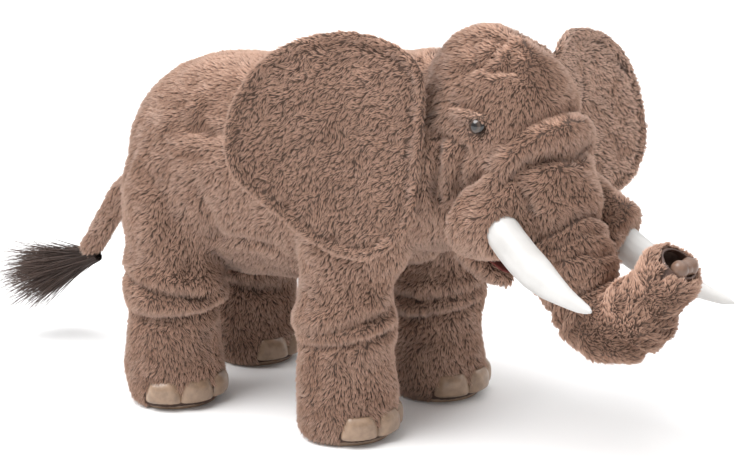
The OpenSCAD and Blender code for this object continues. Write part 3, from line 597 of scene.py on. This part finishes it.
# %% Build the ears
EAR_CREASES = [
    [(20, 52), (52, 66), (92, 62), (120, 44)],
    [(18, 40), (50, 44), (86, 34), (112, 14)],
    [(52, 66), (66, 48), (62, 22)],
    [(18, 20), (48, 14), (84, -2), (100, -18)],
    [(16, 2), (40, -14), (66, -32), (76, -44)],
    [(30, 88), (60, 92), (90, 84)],
    [(86, 34), (98, 20), (104, 2)],
]
EAR_VOXEL = 1.9
RIM_RADIUS, RIM_INSET = 2.9, 2.6
RIM_FURROW_IN, RIM_FURROW_WIDTH, RIM_FURROW_DEPTH = 9.0, 2.8, -1.3
CREASE_WIDTH, CREASE_DEPTH = 2.4, -1.2
ear_at = {}
for side in ("right", "left"):
    foot, out, seam, front = ear_frame(side)
    ear_at[side] = (foot, out, seam, front)
    ear = copy_nodes("ear", side + "_ear_front", side + "_ear_back")
    cad = points_of(ear)
    flat = np.stack([(cad - foot) @ out, (cad - foot) @ seam], axis=1)
    rim = outline(flat)
    rim_points = []
    for p in rim:
        nearest = np.argmin(np.linalg.norm(flat - p, axis=1))
        rim_points.append(cad[nearest])
    curve = bpy.data.curves.new("rim", "CURVE")
    curve.dimensions = "3D"
    curve.bevel_depth = RIM_RADIUS * MM
    spline = curve.splines.new("NURBS")
    spline.points.add(len(rim_points) - 1)
    for point, p in zip(spline.points, rim_points):
        inward = unit(cad.mean(0) - p)
        point.co = (*(p + inward * RIM_INSET * MM), 1)
    spline.use_cyclic_u = True
    spline.order_u = 4
    tube = bpy.data.objects.new("rim", curve)
    bpy.context.scene.collection.objects.link(tube)
    select_only(tube)
    bpy.ops.object.convert(target="MESH")
    ear = join("skin_" + side + "_ear", ear, bpy.context.object)
    melt(ear, EAR_VOXEL, 4)
    co, no = points_of(ear), normals_of(ear)
    flat_co = np.column_stack([(co - foot) @ out, (co - foot) @ seam, np.zeros(len(co))])
    rim_line = [np.array([*p, 0.0]) for p in np.vstack([rim, rim[:1]])]
    inside = line_distance(flat_co, rim_line)
    shift = RIM_FURROW_DEPTH * np.exp(-((inside - RIM_FURROW_IN) / RIM_FURROW_WIDTH) ** 2)
    for crease in EAR_CREASES:
        line = [np.array([x, y, 0.0]) * MM for x, y in crease]
        fold(flat_co, shift, line, CREASE_WIDTH, CREASE_DEPTH)
    wave = 3.0 * soft_noise(co, 48, 8) + 1.0 * soft_noise(co, 20, 9)
    wave *= ease(0, 30, flat_co[:, 0] / MM)
    set_points(ear, co + (no * shift[:, None] + front * wave[:, None]) * MM)
    skins[side + "_ear"] = ear
    print(side, "ear:", len(co), "points, rim of", len(rim), "points")

# %% [markdown]
# ## Shader pieces
# One node group reads how far along a strand a point is, and which tint its tuft has. The
# plush and the tail's hair use it with their own colours.


# %% Shader helpers
def nodes_of(name):
    material = bpy.data.materials.new(name)
    material.use_nodes = True
    tree = material.node_tree
    return material, tree, tree.nodes["Principled BSDF"]


def add_node(tree, kind, **inputs):
    node = tree.nodes.new(kind)
    for key, value in inputs.items():
        if key in node.inputs:
            node.inputs[key].default_value = value
        else:
            setattr(node, key, value)
    return node


def ramp(tree, factor, stops):
    node = tree.nodes.new("ShaderNodeValToRGB")
    while len(node.color_ramp.elements) < len(stops):
        node.color_ramp.elements.new(0.5)
    for element, (at, colour) in zip(node.color_ramp.elements, stops):
        element.position = at
        element.color = (*colour, 1)
    tree.links.new(factor, node.inputs[0])
    return node.outputs[0]


def strand_group():
    """Strand: tint and place along a strand, read from the UV map called pile."""
    group = bpy.data.node_groups.new("strand", "ShaderNodeTree")
    for name in ("Tint", "Along"):
        group.interface.new_socket(name=name, in_out="OUTPUT", socket_type="NodeSocketFloat")
    uv = add_node(group, "ShaderNodeUVMap", uv_map="pile")
    split = group.nodes.new("ShaderNodeSeparateXYZ")
    out = group.nodes.new("NodeGroupOutput")
    group.links.new(uv.outputs[0], split.inputs[0])
    group.links.new(split.outputs[0], out.inputs["Tint"])
    group.links.new(split.outputs[1], out.inputs["Along"])
    return group


STRAND = strand_group()


def strand_material(name, root, middle, tip, dark, roughness, sheen):
    """A material for pile: root to tip colours, and each tuft between dark and full."""
    material, tree, shader = nodes_of(name)
    strand = tree.nodes.new("ShaderNodeGroup")
    strand.node_tree = STRAND
    along = ramp(tree, strand.outputs["Along"], [(0.0, root), (0.4, middle), (0.9, tip)])
    tint = ramp(tree, strand.outputs["Tint"], [(0.0, dark), (1.0, (1, 1, 1))])
    mix = add_node(tree, "ShaderNodeMix", data_type="RGBA", blend_type="MULTIPLY")
    mix.inputs[0].default_value = 1
    tree.links.new(along, mix.inputs[6])
    tree.links.new(tint, mix.inputs[7])
    tree.links.new(mix.outputs[2], shader.inputs["Base Color"])
    shader.inputs["Roughness"].default_value = roughness
    shader.inputs["Specular IOR Level"].default_value = 0.25
    shader.inputs["Sheen Weight"].default_value = sheen
    shader.inputs["Sheen Roughness"].default_value = 0.4
    return material


# %% [markdown]
# Colours follow the toy: beige-taupe where light reaches the pile. The roots are painted dark
# brown as painted shade, so shade gathers between the tufts.

# %% Materials
# The first colour, at the roots, is painted shade between the tufts.
plush = strand_material("plush", (0.105, 0.052, 0.034), (0.50, 0.305, 0.222),
                        (0.88, 0.60, 0.465), (0.66, 0.60, 0.56), 0.75, 0.12)
hair = strand_material("tuft_hair", (0.070, 0.047, 0.040), (0.090, 0.060, 0.050),
                       (0.150, 0.100, 0.082), (0.45, 0.45, 0.45), 0.36, 0.0)


def noisy_material(name, low, high, scale, roughness, bump=0.0, detail=4, **sockets):
    """Base colour between two tones by noise on Object coordinates, with an optional bump."""
    material, tree, shader = nodes_of(name)
    where = tree.nodes.new("ShaderNodeTexCoord")
    cloud = add_node(tree, "ShaderNodeTexNoise", Scale=scale, Detail=detail)
    tree.links.new(where.outputs["Object"], cloud.inputs["Vector"])
    colour = ramp(tree, cloud.outputs[0], [(0.3, low), (0.7, high)])
    tree.links.new(colour, shader.inputs["Base Color"])
    shader.inputs["Roughness"].default_value = roughness
    if bump:
        relief = add_node(tree, "ShaderNodeBump", Distance=0.001, Strength=bump)
        tree.links.new(cloud.outputs[0], relief.inputs["Height"])
        tree.links.new(relief.outputs[0], shader.inputs["Normal"])
    for key, value in sockets.items():
        shader.inputs[key.replace("_", " ")].default_value = value
    return material


# The backing under the pile is painted near black-brown: painted shade in the gaps between tufts.
shade_dark_backing = noisy_material("plush_backing_painted_shade", (0.050, 0.028, 0.020), (0.095, 0.056, 0.040), 260, 0.95,
                         0.6)
satin = noisy_material("tusk_satin", (0.50, 0.488, 0.472), (0.57, 0.56, 0.545), 60, 0.34, 0.12,
                       Sheen_Weight=0.2)
leather = noisy_material("toenail_leather", (0.23, 0.150, 0.098), (0.35, 0.235, 0.158), 180, 0.34,
                         0.35, Coat_Weight=0.25, Coat_Roughness=0.25)
lining = noisy_material("nostril_lining", (0.050, 0.024, 0.016), (0.10, 0.052, 0.036), 120, 0.38, 0.4)
lip_satin = noisy_material("lip_satin", (0.13, 0.075, 0.052), (0.20, 0.120, 0.085), 150, 0.32, 0.4)
mouth = noisy_material("mouth_lining", (0.10, 0.016, 0.012), (0.17, 0.032, 0.024), 200, 0.8, 0.5)
plastic = noisy_material("washer", (0.75, 0.75, 0.75), (0.82, 0.82, 0.82), 90, 0.4)


def eye_material():
    """Black pupil, brown iris that is paler at its rim, and a black edge, under a clear coat."""
    material, tree, shader = nodes_of("eye")
    uv = add_node(tree, "ShaderNodeUVMap", uv_map="pile")
    middle = add_node(tree, "ShaderNodeVectorMath", operation="DISTANCE")
    middle.inputs[1].default_value = (0.5, 0.5, 0)
    tree.links.new(uv.outputs[0], middle.inputs[0])
    colour = ramp(tree, middle.outputs["Value"], [
        (0.0, (0.004, 0.003, 0.003)), (0.15, (0.004, 0.003, 0.003)), (0.18, (0.030, 0.018, 0.013)),
        (0.29, (0.075, 0.050, 0.038)), (0.34, (0.012, 0.008, 0.007)), (0.38, (0.004, 0.003, 0.003))])
    tree.links.new(colour, shader.inputs["Base Color"])
    shader.inputs["Roughness"].default_value = 0.12
    shader.inputs["Coat Weight"].default_value = 0.6
    shader.inputs["Coat Roughness"].default_value = 0.03
    return material


eye_gloss = eye_material()
print("materials:", len(bpy.data.materials))

# %% [markdown]
# ## Growing pile
# Plush pile is made of real tufts. Points are scattered over a skin by area, each with a
# small spike of three triangles. A nap says which way the spike lies, noise swirls it, and
# neighbours lean their tips together into clumps. Every tuft gets one tint column in its UV
# map, and its roots and tips lie at the map's bottom and top.

# %% Pile grower
TINTS = 48
CLUMP = 10
PIECE = 65000
SUNK = 0.5
LONGEST_PULL = 1.8
ABOVE_FLOOR = 0.4


def scatter(obj, per_mm2, rng):
    """Random points on a mesh by area, with their smooth normals."""
    mesh = obj.data
    mesh.calc_loop_triangles()
    tris = np.empty(len(mesh.loop_triangles) * 3, int)
    mesh.loop_triangles.foreach_get("vertices", tris)
    tris = tris.reshape(-1, 3)
    co, no = points_of(obj), normals_of(obj)
    a, b, c = co[tris[:, 0]], co[tris[:, 1]], co[tris[:, 2]]
    area = np.linalg.norm(np.cross(b - a, c - a), axis=1) / 2
    count = int(area.sum() / MM ** 2 * per_mm2)
    edges = np.cumsum(area) / area.sum()
    pick = np.searchsorted(edges, (np.arange(count) + rng.random(count)) / count)
    pick = np.minimum(pick, len(tris) - 1)
    u, v = rng.random(count), rng.random(count)
    flip = u + v > 1
    u[flip], v[flip] = 1 - u[flip], 1 - v[flip]
    t = tris[pick]
    w = (1 - u - v)[:, None]
    spot = co[t[:, 0]] * w + co[t[:, 1]] * u[:, None] + co[t[:, 2]] * v[:, None]
    normal = no[t[:, 0]] * w + no[t[:, 1]] * u[:, None] + no[t[:, 2]] * v[:, None]
    return spot, unit(normal)


def spikes(name, root, tip, side, lift, width, tint):
    """One mesh of three-sided spikes from root to tip."""
    n = len(root)
    w = width[:, None]
    ring = [side * w * 0.5 - lift * w * 0.25, -side * w * 0.5 - lift * w * 0.25, lift * w * 0.45]
    verts = np.stack([root + r for r in ring] + [tip], axis=1)
    corners = np.array([[0, 1, 3], [1, 2, 3], [2, 0, 3]])
    index = (np.arange(n)[:, None, None] * 4 + corners[None]).reshape(-1)
    mesh = bpy.data.meshes.new(name)
    mesh.vertices.add(n * 4)
    mesh.vertices.foreach_set("co", verts.reshape(-1).astype(np.float32))
    mesh.loops.add(n * 9)
    mesh.loops.foreach_set("vertex_index", index.astype(np.int32))
    mesh.polygons.add(n * 3)
    mesh.polygons.foreach_set("loop_start", (np.arange(n * 3) * 3).astype(np.int32))
    mesh.update(calc_edges=True)
    column = (np.floor(tint * TINTS) + 0.5) / TINTS
    half = 0.3 / TINTS
    u = column[:, None] + np.array([-half, half, 0, half, 0, 0, 0, -half, 0])[None]
    v = np.tile([0.02, 0.02, 0.98], n * 3)
    uv = np.stack([u.reshape(-1), v], axis=1).reshape(-1).astype(np.float32)
    for layer in ("pile", "OFBake"):
        mesh.uv_layers.new(name=layer).data.foreach_set("uv", uv)
    mesh.polygons.foreach_set("use_smooth", np.ones(n * 3, bool))
    obj = bpy.data.objects.new(name, mesh)
    bpy.context.scene.collection.objects.link(obj)
    obj.data.materials.append(plush)
    return obj


def grow(name, skin, per_mm2, nap, length, seed, lean=34, swirl=1.0, width=0.9, keep=None,
         painted_light=0.0):
    """Pile on a skin, in pieces of at most PIECE tufts. nap gives each root a direction."""
    rng = np.random.default_rng(seed)
    spot, normal = scatter(skin, per_mm2, rng)
    if keep is not None:
        kept = keep(spot, normal)
        spot, normal = spot[kept], normal[kept]
    n = len(spot)
    flow = nap(spot, normal)
    flow = unit(flow - normal * (flow * normal).sum(1)[:, None])
    turn = swirl * (1.1 * soft_noise(spot, 12, 11) + 0.7 * soft_noise(spot, 4.5, 12))
    turn += rng.normal(0, 0.22, n)
    aside = np.cross(normal, flow)
    flow = flow * np.cos(turn)[:, None] + aside * np.sin(turn)[:, None]
    long = (length(spot) if callable(length) else np.full(n, float(length)))
    long = long * rng.uniform(0.75, 1.2, n) * MM
    rise = np.radians(lean + rng.normal(0, 7, n) + 14 * soft_noise(spot, 6, 13))
    root = spot - normal * SUNK * MM
    tip = root + (flow * np.cos(rise)[:, None] + normal * np.sin(rise)[:, None]) * long[:, None]
    leads = np.arange(0, n, CLUMP)
    tree = kdtree.KDTree(len(leads))
    for k, i in enumerate(leads):
        tree.insert(spot[i], k)
    tree.balance()
    lead = leads[np.array([tree.find(p)[1] for p in spot])]
    pull = rng.uniform(0.2, 0.65, n)[:, None]
    drift = (tip[lead] + (tip - root) * 0.15 - tip) * pull
    reach = np.linalg.norm(drift, axis=1, keepdims=True)
    tip = tip + drift * np.minimum(1, LONGEST_PULL * MM / np.maximum(reach, 1e-9))
    tip[:, 2] = np.maximum(tip[:, 2], ABOVE_FLOOR * MM)
    side = unit(np.cross(normal, tip - root))
    wide = width * MM * rng.uniform(0.75, 1.25, n)
    tint = 0.5 + 0.20 * soft_noise(spot, 30, 14) + 0.14 * soft_noise(spot, 7, 15)
    tint += rng.normal(0, 0.12, n)
    # A whole piece's tint can be lifted here: painted light on a piece that more light falls on.
    tint = np.clip(tint + painted_light, 0.01, 0.99)
    chunks = np.array_split(np.argsort(spot @ ahead), math.ceil(n / PIECE))
    return [spikes(name + "_" + str(k + 1), root[c], tip[c], side[c], normal[c], wide[c], tint[c])
            for k, c in enumerate(chunks)]


# %% [markdown]
# ## Which way the pile lies
# On the body it runs back and down, on the legs straight down and out over the feet, on the
# trunk towards its tip, and on the ears out to the rim.


# %% Nap directions
def body_nap(co, normal):
    flow = np.tile([-0.55, 0.0, -0.85], (len(co), 1))
    low = ease(110, 80, co[:, 2] / MM)[:, None]
    return flow * (1 - low) + np.array([0, 0, -1.0]) * low


def head_nap(co, normal):
    back = -ahead * 0.5 - UP * 0.85
    return np.tile(back, (len(co), 1))


def trunk_nap(co, normal):
    s, _ = trunk_place(co)
    return trunk_dir[s.astype(int)]


def tail_nap(co, normal):
    return np.tile([-0.6, 0.0, -0.8], (len(co), 1))


def ear_nap(side):
    foot, out, seam, _ = ear_at[side]

    def nap(co, normal):
        h = ((co - foot) @ seam / MM)[:, None]
        return out * 0.7 - seam * 0.75 + seam * np.clip((h - 40) / 120, -0.3, 0.5)

    return nap


# %% [markdown]
# No pile grows where the eyes, the toenails and the soles are. Near the eyes it is short.

# %% Bare places
SIDES = {"right": -1, "left": 1}
EYE_AHEAD, EYE_ASIDE, EYE_UP = 87.4, 48.6, 43.7
EYES = {side: head_point(EYE_AHEAD, sign * EYE_ASIDE, EYE_UP) for side, sign in SIDES.items()}
NAIL_TURN = {"front_right": 0, "front_left": 0, "hind_right": -26, "hind_left": 12}
NAIL_SPAN = 64
NAIL_TOP = 15
POCKET_START, POCKET_R = 158, 14.5


def toe_share(co, leg):
    """1 over the toenails of a foot and 0 elsewhere."""
    d = co - HIP[leg]
    angle = np.degrees(np.arctan2(d[:, 1], d[:, 0])) - NAIL_TURN[leg]
    low = ease(NAIL_TOP + 2, NAIL_TOP - 1, co[:, 2] / MM)
    return ease(NAIL_SPAN + 5, NAIL_SPAN - 1, np.abs(angle)) * low


def off_foot(leg):
    def keep(co, normal):
        return (toe_share(co, leg) < 0.4) & (co[:, 2] > 2.0 * MM)

    return keep


def off_pocket(co, normal):
    """Leaves the inside of the trunk's tip bare."""
    s, off_line = trunk_place(co)
    return (s < POCKET_START) | (off_line > POCKET_R * MM)


def off_face(co, normal):
    clear = np.ones(len(co), bool)
    for eye in EYES.values():
        clear &= np.linalg.norm(co - eye, axis=1) > 5.0 * MM
    return clear


def face_length(co):
    near = np.min([np.linalg.norm(co - eye, axis=1) for eye in EYES.values()], axis=0) / MM
    return 2.0 + 2.2 * ease(5, 16, near)


def leg_length(co):
    return 4.4 + 1.2 * ease(12, 5, co[:, 2] / MM)


# %% Grow all the pile
DENSE = 1.1
DENSE_FACE = DENSE * 1.1
piles = {}
for k, leg in enumerate(LEGS):
    piles[leg] = grow("pile_" + leg + "_leg", skins[leg], DENSE, body_nap, leg_length, 20 + k,
                      keep=off_foot(leg))
piles["torso"] = grow("pile_torso", skins["torso"], DENSE, body_nap, 4.6, 30)
piles["head"] = grow("pile_head", skins["head"], DENSE_FACE, head_nap, face_length, 40,
                     keep=off_face)
for k, part in enumerate(("trunk_upper", "trunk_bend", "trunk_tip")):
    piles[part] = grow("pile_" + part, skins[part], DENSE_FACE, trunk_nap, 4.2, 50 + k,
                       keep=off_pocket)
piles["jaw"] = grow("pile_jaw", skins["jaw"], DENSE, head_nap, 5.0, 60, lean=24)
piles["tail"] = grow("pile_tail", skins["tail"], DENSE, tail_nap, 4.6, 61, lean=26)
for k, side in enumerate(("right", "left")):
    ear = side + "_ear"
    # The left ear is the far one, and its pile is tinted paler: painted light.
    piles[ear] = grow("pile_" + ear, skins[ear], DENSE, ear_nap(side), 3.8, 70 + k, lean=28,
                      swirl=1.1, width=0.85, painted_light=0.45 * k)
# Every skin gets the dark backing, painted shade where it shows between the tufts.
for skin in skins.values():
    dress(skin, shade_dark_backing)
triangles = {name: sum(len(p.data.polygons) for p in group) for name, group in piles.items()}
print("pile triangles:", triangles, "total", sum(triangles.values()))

# %% [markdown]
# ## Tusks
# A tusk is satin sewn round stuffing. It starts from its CAD cover, smoothed, with shallow
# gathers from noise all along it.

# %% Tusks
tusks = {}
for side in ("right", "left"):
    tusk = copy_nodes("tusk_" + side, side + "_tusk_cover", side + "_tusk_fill")
    melt(tusk, 1.1, 6)
    co, no = points_of(tusk), normals_of(tusk)
    set_points(tusk, co + no * (0.35 + 0.35 * soft_noise(co, 22, 16))[:, None] * MM)
    dress(tusk, satin)
    tusks[side] = tusk

# %% [markdown]
# ## Feet
# Toenails are padded caps of synthetic leather over a sole of the same. Subdivision rounds
# the CAD caps, and the sole gets a soft edge.

# %% Toenails and soles
SOLE_RADIUS, SOLE_DEPTH = 31, 3.6
nails, soles = {}, {}
for leg in LEGS:
    nail = copy_nodes("toenails_" + leg, leg + "_toenails")
    modify(nail, "SUBSURF", levels=2, render_levels=2)
    set_points(nail, points_of(nail) + normals_of(nail) * 0.9 * MM)
    dress(nail, leather)
    nails[leg] = nail
    centre = HIP[leg] * [1, 1, 0]
    bpy.ops.mesh.primitive_cylinder_add(vertices=64, radius=SOLE_RADIUS * MM,
                                        depth=SOLE_DEPTH * MM, location=centre + UP * 1.9 * MM)
    sole = bpy.context.object
    sole.name = sole.data.name = "sole_" + leg
    bpy.ops.object.transform_apply(location=True, rotation=True, scale=True)
    modify(sole, "BEVEL", width=1.4 * MM, segments=3)
    sole.data.materials.append(leather)
    bpy.ops.object.shade_smooth_by_angle(angle=math.radians(40))
    soles[leg] = sole

# %% [markdown]
# ## Eyes
# Each eye is a glossy dome. A flat projection along its axis gives its UV map, so the
# pupil and iris are rings round the middle.

# %% Eyes
EYE_RADIUS, EYE_SUNK = 6.2, 2.0
eyes = {}
for side, sign in SIDES.items():
    outward = unit(ahead * 0.22 + across * sign * 0.95 + UP * 0.12)
    radius = EYE_RADIUS * MM
    centre = EYES[side] - outward * EYE_SUNK * MM
    bpy.ops.mesh.primitive_uv_sphere_add(segments=48, ring_count=24, radius=radius, location=centre)
    eye = bpy.context.object
    eye.name = eye.data.name = "eye_" + side
    bpy.ops.object.transform_apply(location=True, rotation=True, scale=True)
    right = unit(np.cross(UP, outward))
    top = np.cross(outward, right)
    co = points_of(eye)
    loops = np.empty(len(eye.data.loops), int)
    eye.data.loops.foreach_get("vertex_index", loops)
    flat = np.stack([(co - centre) @ right, (co - centre) @ top], axis=1) / radius * 0.46 + 0.5
    eye.data.uv_layers[0].name = "pile"
    eye.data.uv_layers["pile"].data.foreach_set("uv", flat[loops].reshape(-1).astype(np.float32))
    eye.data.materials.append(eye_gloss)
    bpy.ops.object.shade_smooth()
    eyes[side] = eye
print("eye at", EYES["right"].round(3))

# %% [markdown]
# ## Linings
# The mouth shows a dark red lining between jaw and trunk. The trunk's tip holds a satiny
# brown pocket, and the soft lip in its lower half has two lobes side by side.

# %% Linings
LOBE_APART, LOBE_RADII = 5.5, (6.0, 5.5, 6.5)
LININGS = {
    "jaw_lining": (mouth, "jaw", "mouth_lining"),
    "mouth_palate": (mouth, "head", "mouth_lining"),
    "nostril_lining": (lining, "trunk_tip", "nostril_lining"),
    "trunk_tip_lip": (lip_satin, "trunk_tip", "nostril_lining"),
}
pieces = {}
for name, (material, _, _) in LININGS.items():
    piece = copy_nodes("lining_" + name, name)
    if name == "trunk_tip_lip":
        middle = points_of(piece).mean(0)
        lobes = [ball(middle + across * side * LOBE_APART * MM, LOBE_RADII) for side in (-1, 1)]
        piece = join("lining_" + name, piece, *lobes)
    melt(piece, 0.7, 3)
    co, no = points_of(piece), normals_of(piece)
    set_points(piece, co + no * (0.5 * soft_noise(co, 8, 17))[:, None] * MM)
    dress(piece, material)
    pieces[name] = piece

# %% [markdown]
# ## The tail's hair
# Long straight strands leave the end of the tail, spread into a fan and thin to points.

# %% Tail hair
rng = np.random.default_rng(5)
tail_skin = points_of(frame["nodes"]["tail_skin"])
far = tail_skin[np.argsort(tail_skin[:, 2])[:24]].mean(0)
tuft = points_of(frame["nodes"]["tail_tuft"])
end = tuft[np.argsort((tuft - far) @ unit(tuft.mean(0) - far))[-16:]].mean(0)
main = unit(end - far)
reach = np.linalg.norm(end - far)
STRANDS, STEPS = 1900, 7
side = np.array([0, 1.0, 0])
lift = np.cross(main, side)
verts, faces, uvs = [], [], []
for k in range(STRANDS):
    a, r = rng.uniform(0, 2 * math.pi), math.sqrt(rng.random())
    root = far - main * 7 * MM + (side * math.cos(a) + lift * math.sin(a)) * r * 4.6 * MM
    root += main * rng.uniform(0, 12) * MM
    spread = (side * math.cos(a) + lift * math.sin(a)) * r * rng.normal(0.20, 0.05)
    aim = unit(main + spread + rng.normal(0, 0.035, 3))
    long = reach * rng.uniform(0.62, 1.06) * (1 if rng.random() > 0.05 else 1.12)
    sag = UP * rng.normal(-0.05, 0.10) + side * rng.normal(0, 0.08)
    thick = rng.uniform(0.30, 0.55) * MM
    across_strand = unit(np.cross(aim, rng.normal(0, 1, 3)))
    over = np.cross(aim, across_strand)
    tint = (math.floor(rng.random() * TINTS) + 0.5) / TINTS
    base = len(verts)
    for j in range(STEPS):
        t = j / (STEPS - 1)
        p = root + aim * long * t + sag * long * t * t
        w = thick * (1 - 0.85 * t)
        for c in range(3):
            b = 2 * math.pi * c / 3
            verts.append(p + (across_strand * math.cos(b) + over * math.sin(b)) * w)
    for j in range(STEPS - 1):
        for c in range(3):
            i0, i1 = base + 3 * j + c, base + 3 * j + (c + 1) % 3
            faces.append((i0, i1, i1 + 3, i0 + 3))
            t0, t1 = j / (STEPS - 1), (j + 1) / (STEPS - 1)
            h = 0.2 / TINTS
            uvs += [tint - h, t0, tint + h, t0, tint + h, t1, tint - h, t1]
tail_hair = new_object("tail_hair", verts, faces)
for layer in ("pile", "OFBake"):
    tail_hair.data.uv_layers.new(name=layer).data.foreach_set("uv", uvs)
dress(tail_hair, hair)
print("tail hair:", len(faces) * 2, "triangles")

# %% [markdown]
# ## Tie the pieces to their CAD bodies
# A piece on one body is attached to it, with its pile. A piece that crosses a joint, and the
# pile on it, only gets its transform baked into its points.

# %% Ride and bake
STANDS_FOR = {
    "torso": ["torso_right_panel", "torso_left_panel", "belly_gusset", "torso_fill"],
    "head": ["neck_core", "head_right_panel", "head_left_panel", "head_fill", "right_eyelid",
             "left_eyelid", "right_tusk_sleeve", "left_tusk_sleeve"],
    "trunk_upper": ["trunk_upper_skin", "trunk_upper_fill"],
    "trunk_bend": ["trunk_bend_skin", "trunk_bend_fill"],
    "trunk_tip": ["trunk_tip_skin", "trunk_tip_fill"],
    "jaw": ["jaw_skin", "jaw_fill"],
    "tail": ["tail_skin", "tail_fill"],
    "right_ear": ["right_ear_front", "right_ear_back"],
    "left_ear": ["left_ear_front", "left_ear_back"],
}
for leg in LEGS:
    STANDS_FOR[leg] = [leg + "_leg_skin", leg + "_leg_fill"]
for name, skin in skins.items():
    for obj in [skin, *piles[name]]:
        if name in plans:
            a, b, start, end = plans[name]
            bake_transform(obj)
        else:
            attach(obj, name)
    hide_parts(*STANDS_FOR[name])

# %% Ride the fittings
for side in ("right", "left"):
    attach(tusks[side], "head")
    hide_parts(side + "_tusk_cover", side + "_tusk_fill")
    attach(eyes[side], "head")
    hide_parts(side + "_eye")
    washer = frame["nodes"][side + "_eye_washer"]
    washer.data.materials.clear()
    washer.data.materials.append(plastic)
for leg in LEGS:
    for obj, node in ((nails[leg], "_toenails"), (soles[leg], "_sole")):
        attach(obj, leg + "_leg")
        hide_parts(leg + node)
for name, (_, body_name, slot_name) in LININGS.items():
    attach(pieces[name], body_name)
    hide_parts(name)
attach(tail_hair, "tail")
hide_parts("tail_tuft")

# %% [markdown]
# ## Studio
# A pale floor, a white surround, one wide soft light from above on the tail's side, in front,
# and a weaker one from above and behind.

# %% Floor and light
bpy.ops.mesh.primitive_plane_add(size=30, location=(0, 0, 0))
floor = bpy.context.object
floor.name = "floor"
floor.data.materials.append(noisy_material("floor", (0.93, 0.93, 0.93), (0.94, 0.94, 0.94), 3, 0.9))
world = bpy.data.worlds.new("studio")
bpy.context.scene.world = world
world.use_nodes = True
world.node_tree.nodes["Background"].inputs[0].default_value = (1, 1, 1, 1)
seen = add_node(world.node_tree, "ShaderNodeLightPath")
glow = add_node(world.node_tree, "ShaderNodeMath", operation="MULTIPLY_ADD")
glow.inputs[1].default_value, glow.inputs[2].default_value = 0.4, 0.6
world.node_tree.links.new(seen.outputs["Is Camera Ray"], glow.inputs[0])
world.node_tree.links.new(glow.outputs[0], world.node_tree.nodes["Background"].inputs[1])


def sun(name, towards, strength, spread):
    """A wide soft light from a direction."""
    light = bpy.data.lights.new(name, "SUN")
    light.energy, light.angle = strength, math.radians(spread)
    obj = bpy.data.objects.new(name, light)
    obj.rotation_euler = Vector(towards).to_track_quat("Z", "Y").to_euler()
    bpy.context.scene.collection.objects.link(obj)


sun("key", (-0.3, -0.45, 0.85), 3.2, 45)
sun("top", (0.2, 0.3, 0.9), 1.6, 80)

# %% [markdown]
# ## Camera
# The camera stands to the right and a little ahead and above, and looks at a point between
# the shoulders and the mouth.

# %% Camera
AZIMUTH, ELEVATION, DISTANCE, LENS = 31, 15, 1.62, 108.1
target = Vector(hips + np.array([62.6, 0, -9.5]) * MM)
a, e = math.radians(AZIMUTH), math.radians(ELEVATION)
back = Vector((math.sin(a) * math.cos(e), -math.cos(a) * math.cos(e), math.sin(e)))
camera_data = bpy.data.cameras.new("camera")
camera_data.lens, camera_data.sensor_width = LENS, 36
camera = bpy.data.objects.new("camera", camera_data)
camera.location = target + back * DISTANCE
camera.rotation_euler = (-back).to_track_quat("-Z", "Y").to_euler()
bpy.context.scene.collection.objects.link(camera)
bpy.context.scene.camera = camera
bpy.context.scene.view_settings.view_transform = "Standard"

# %% Finish
import json
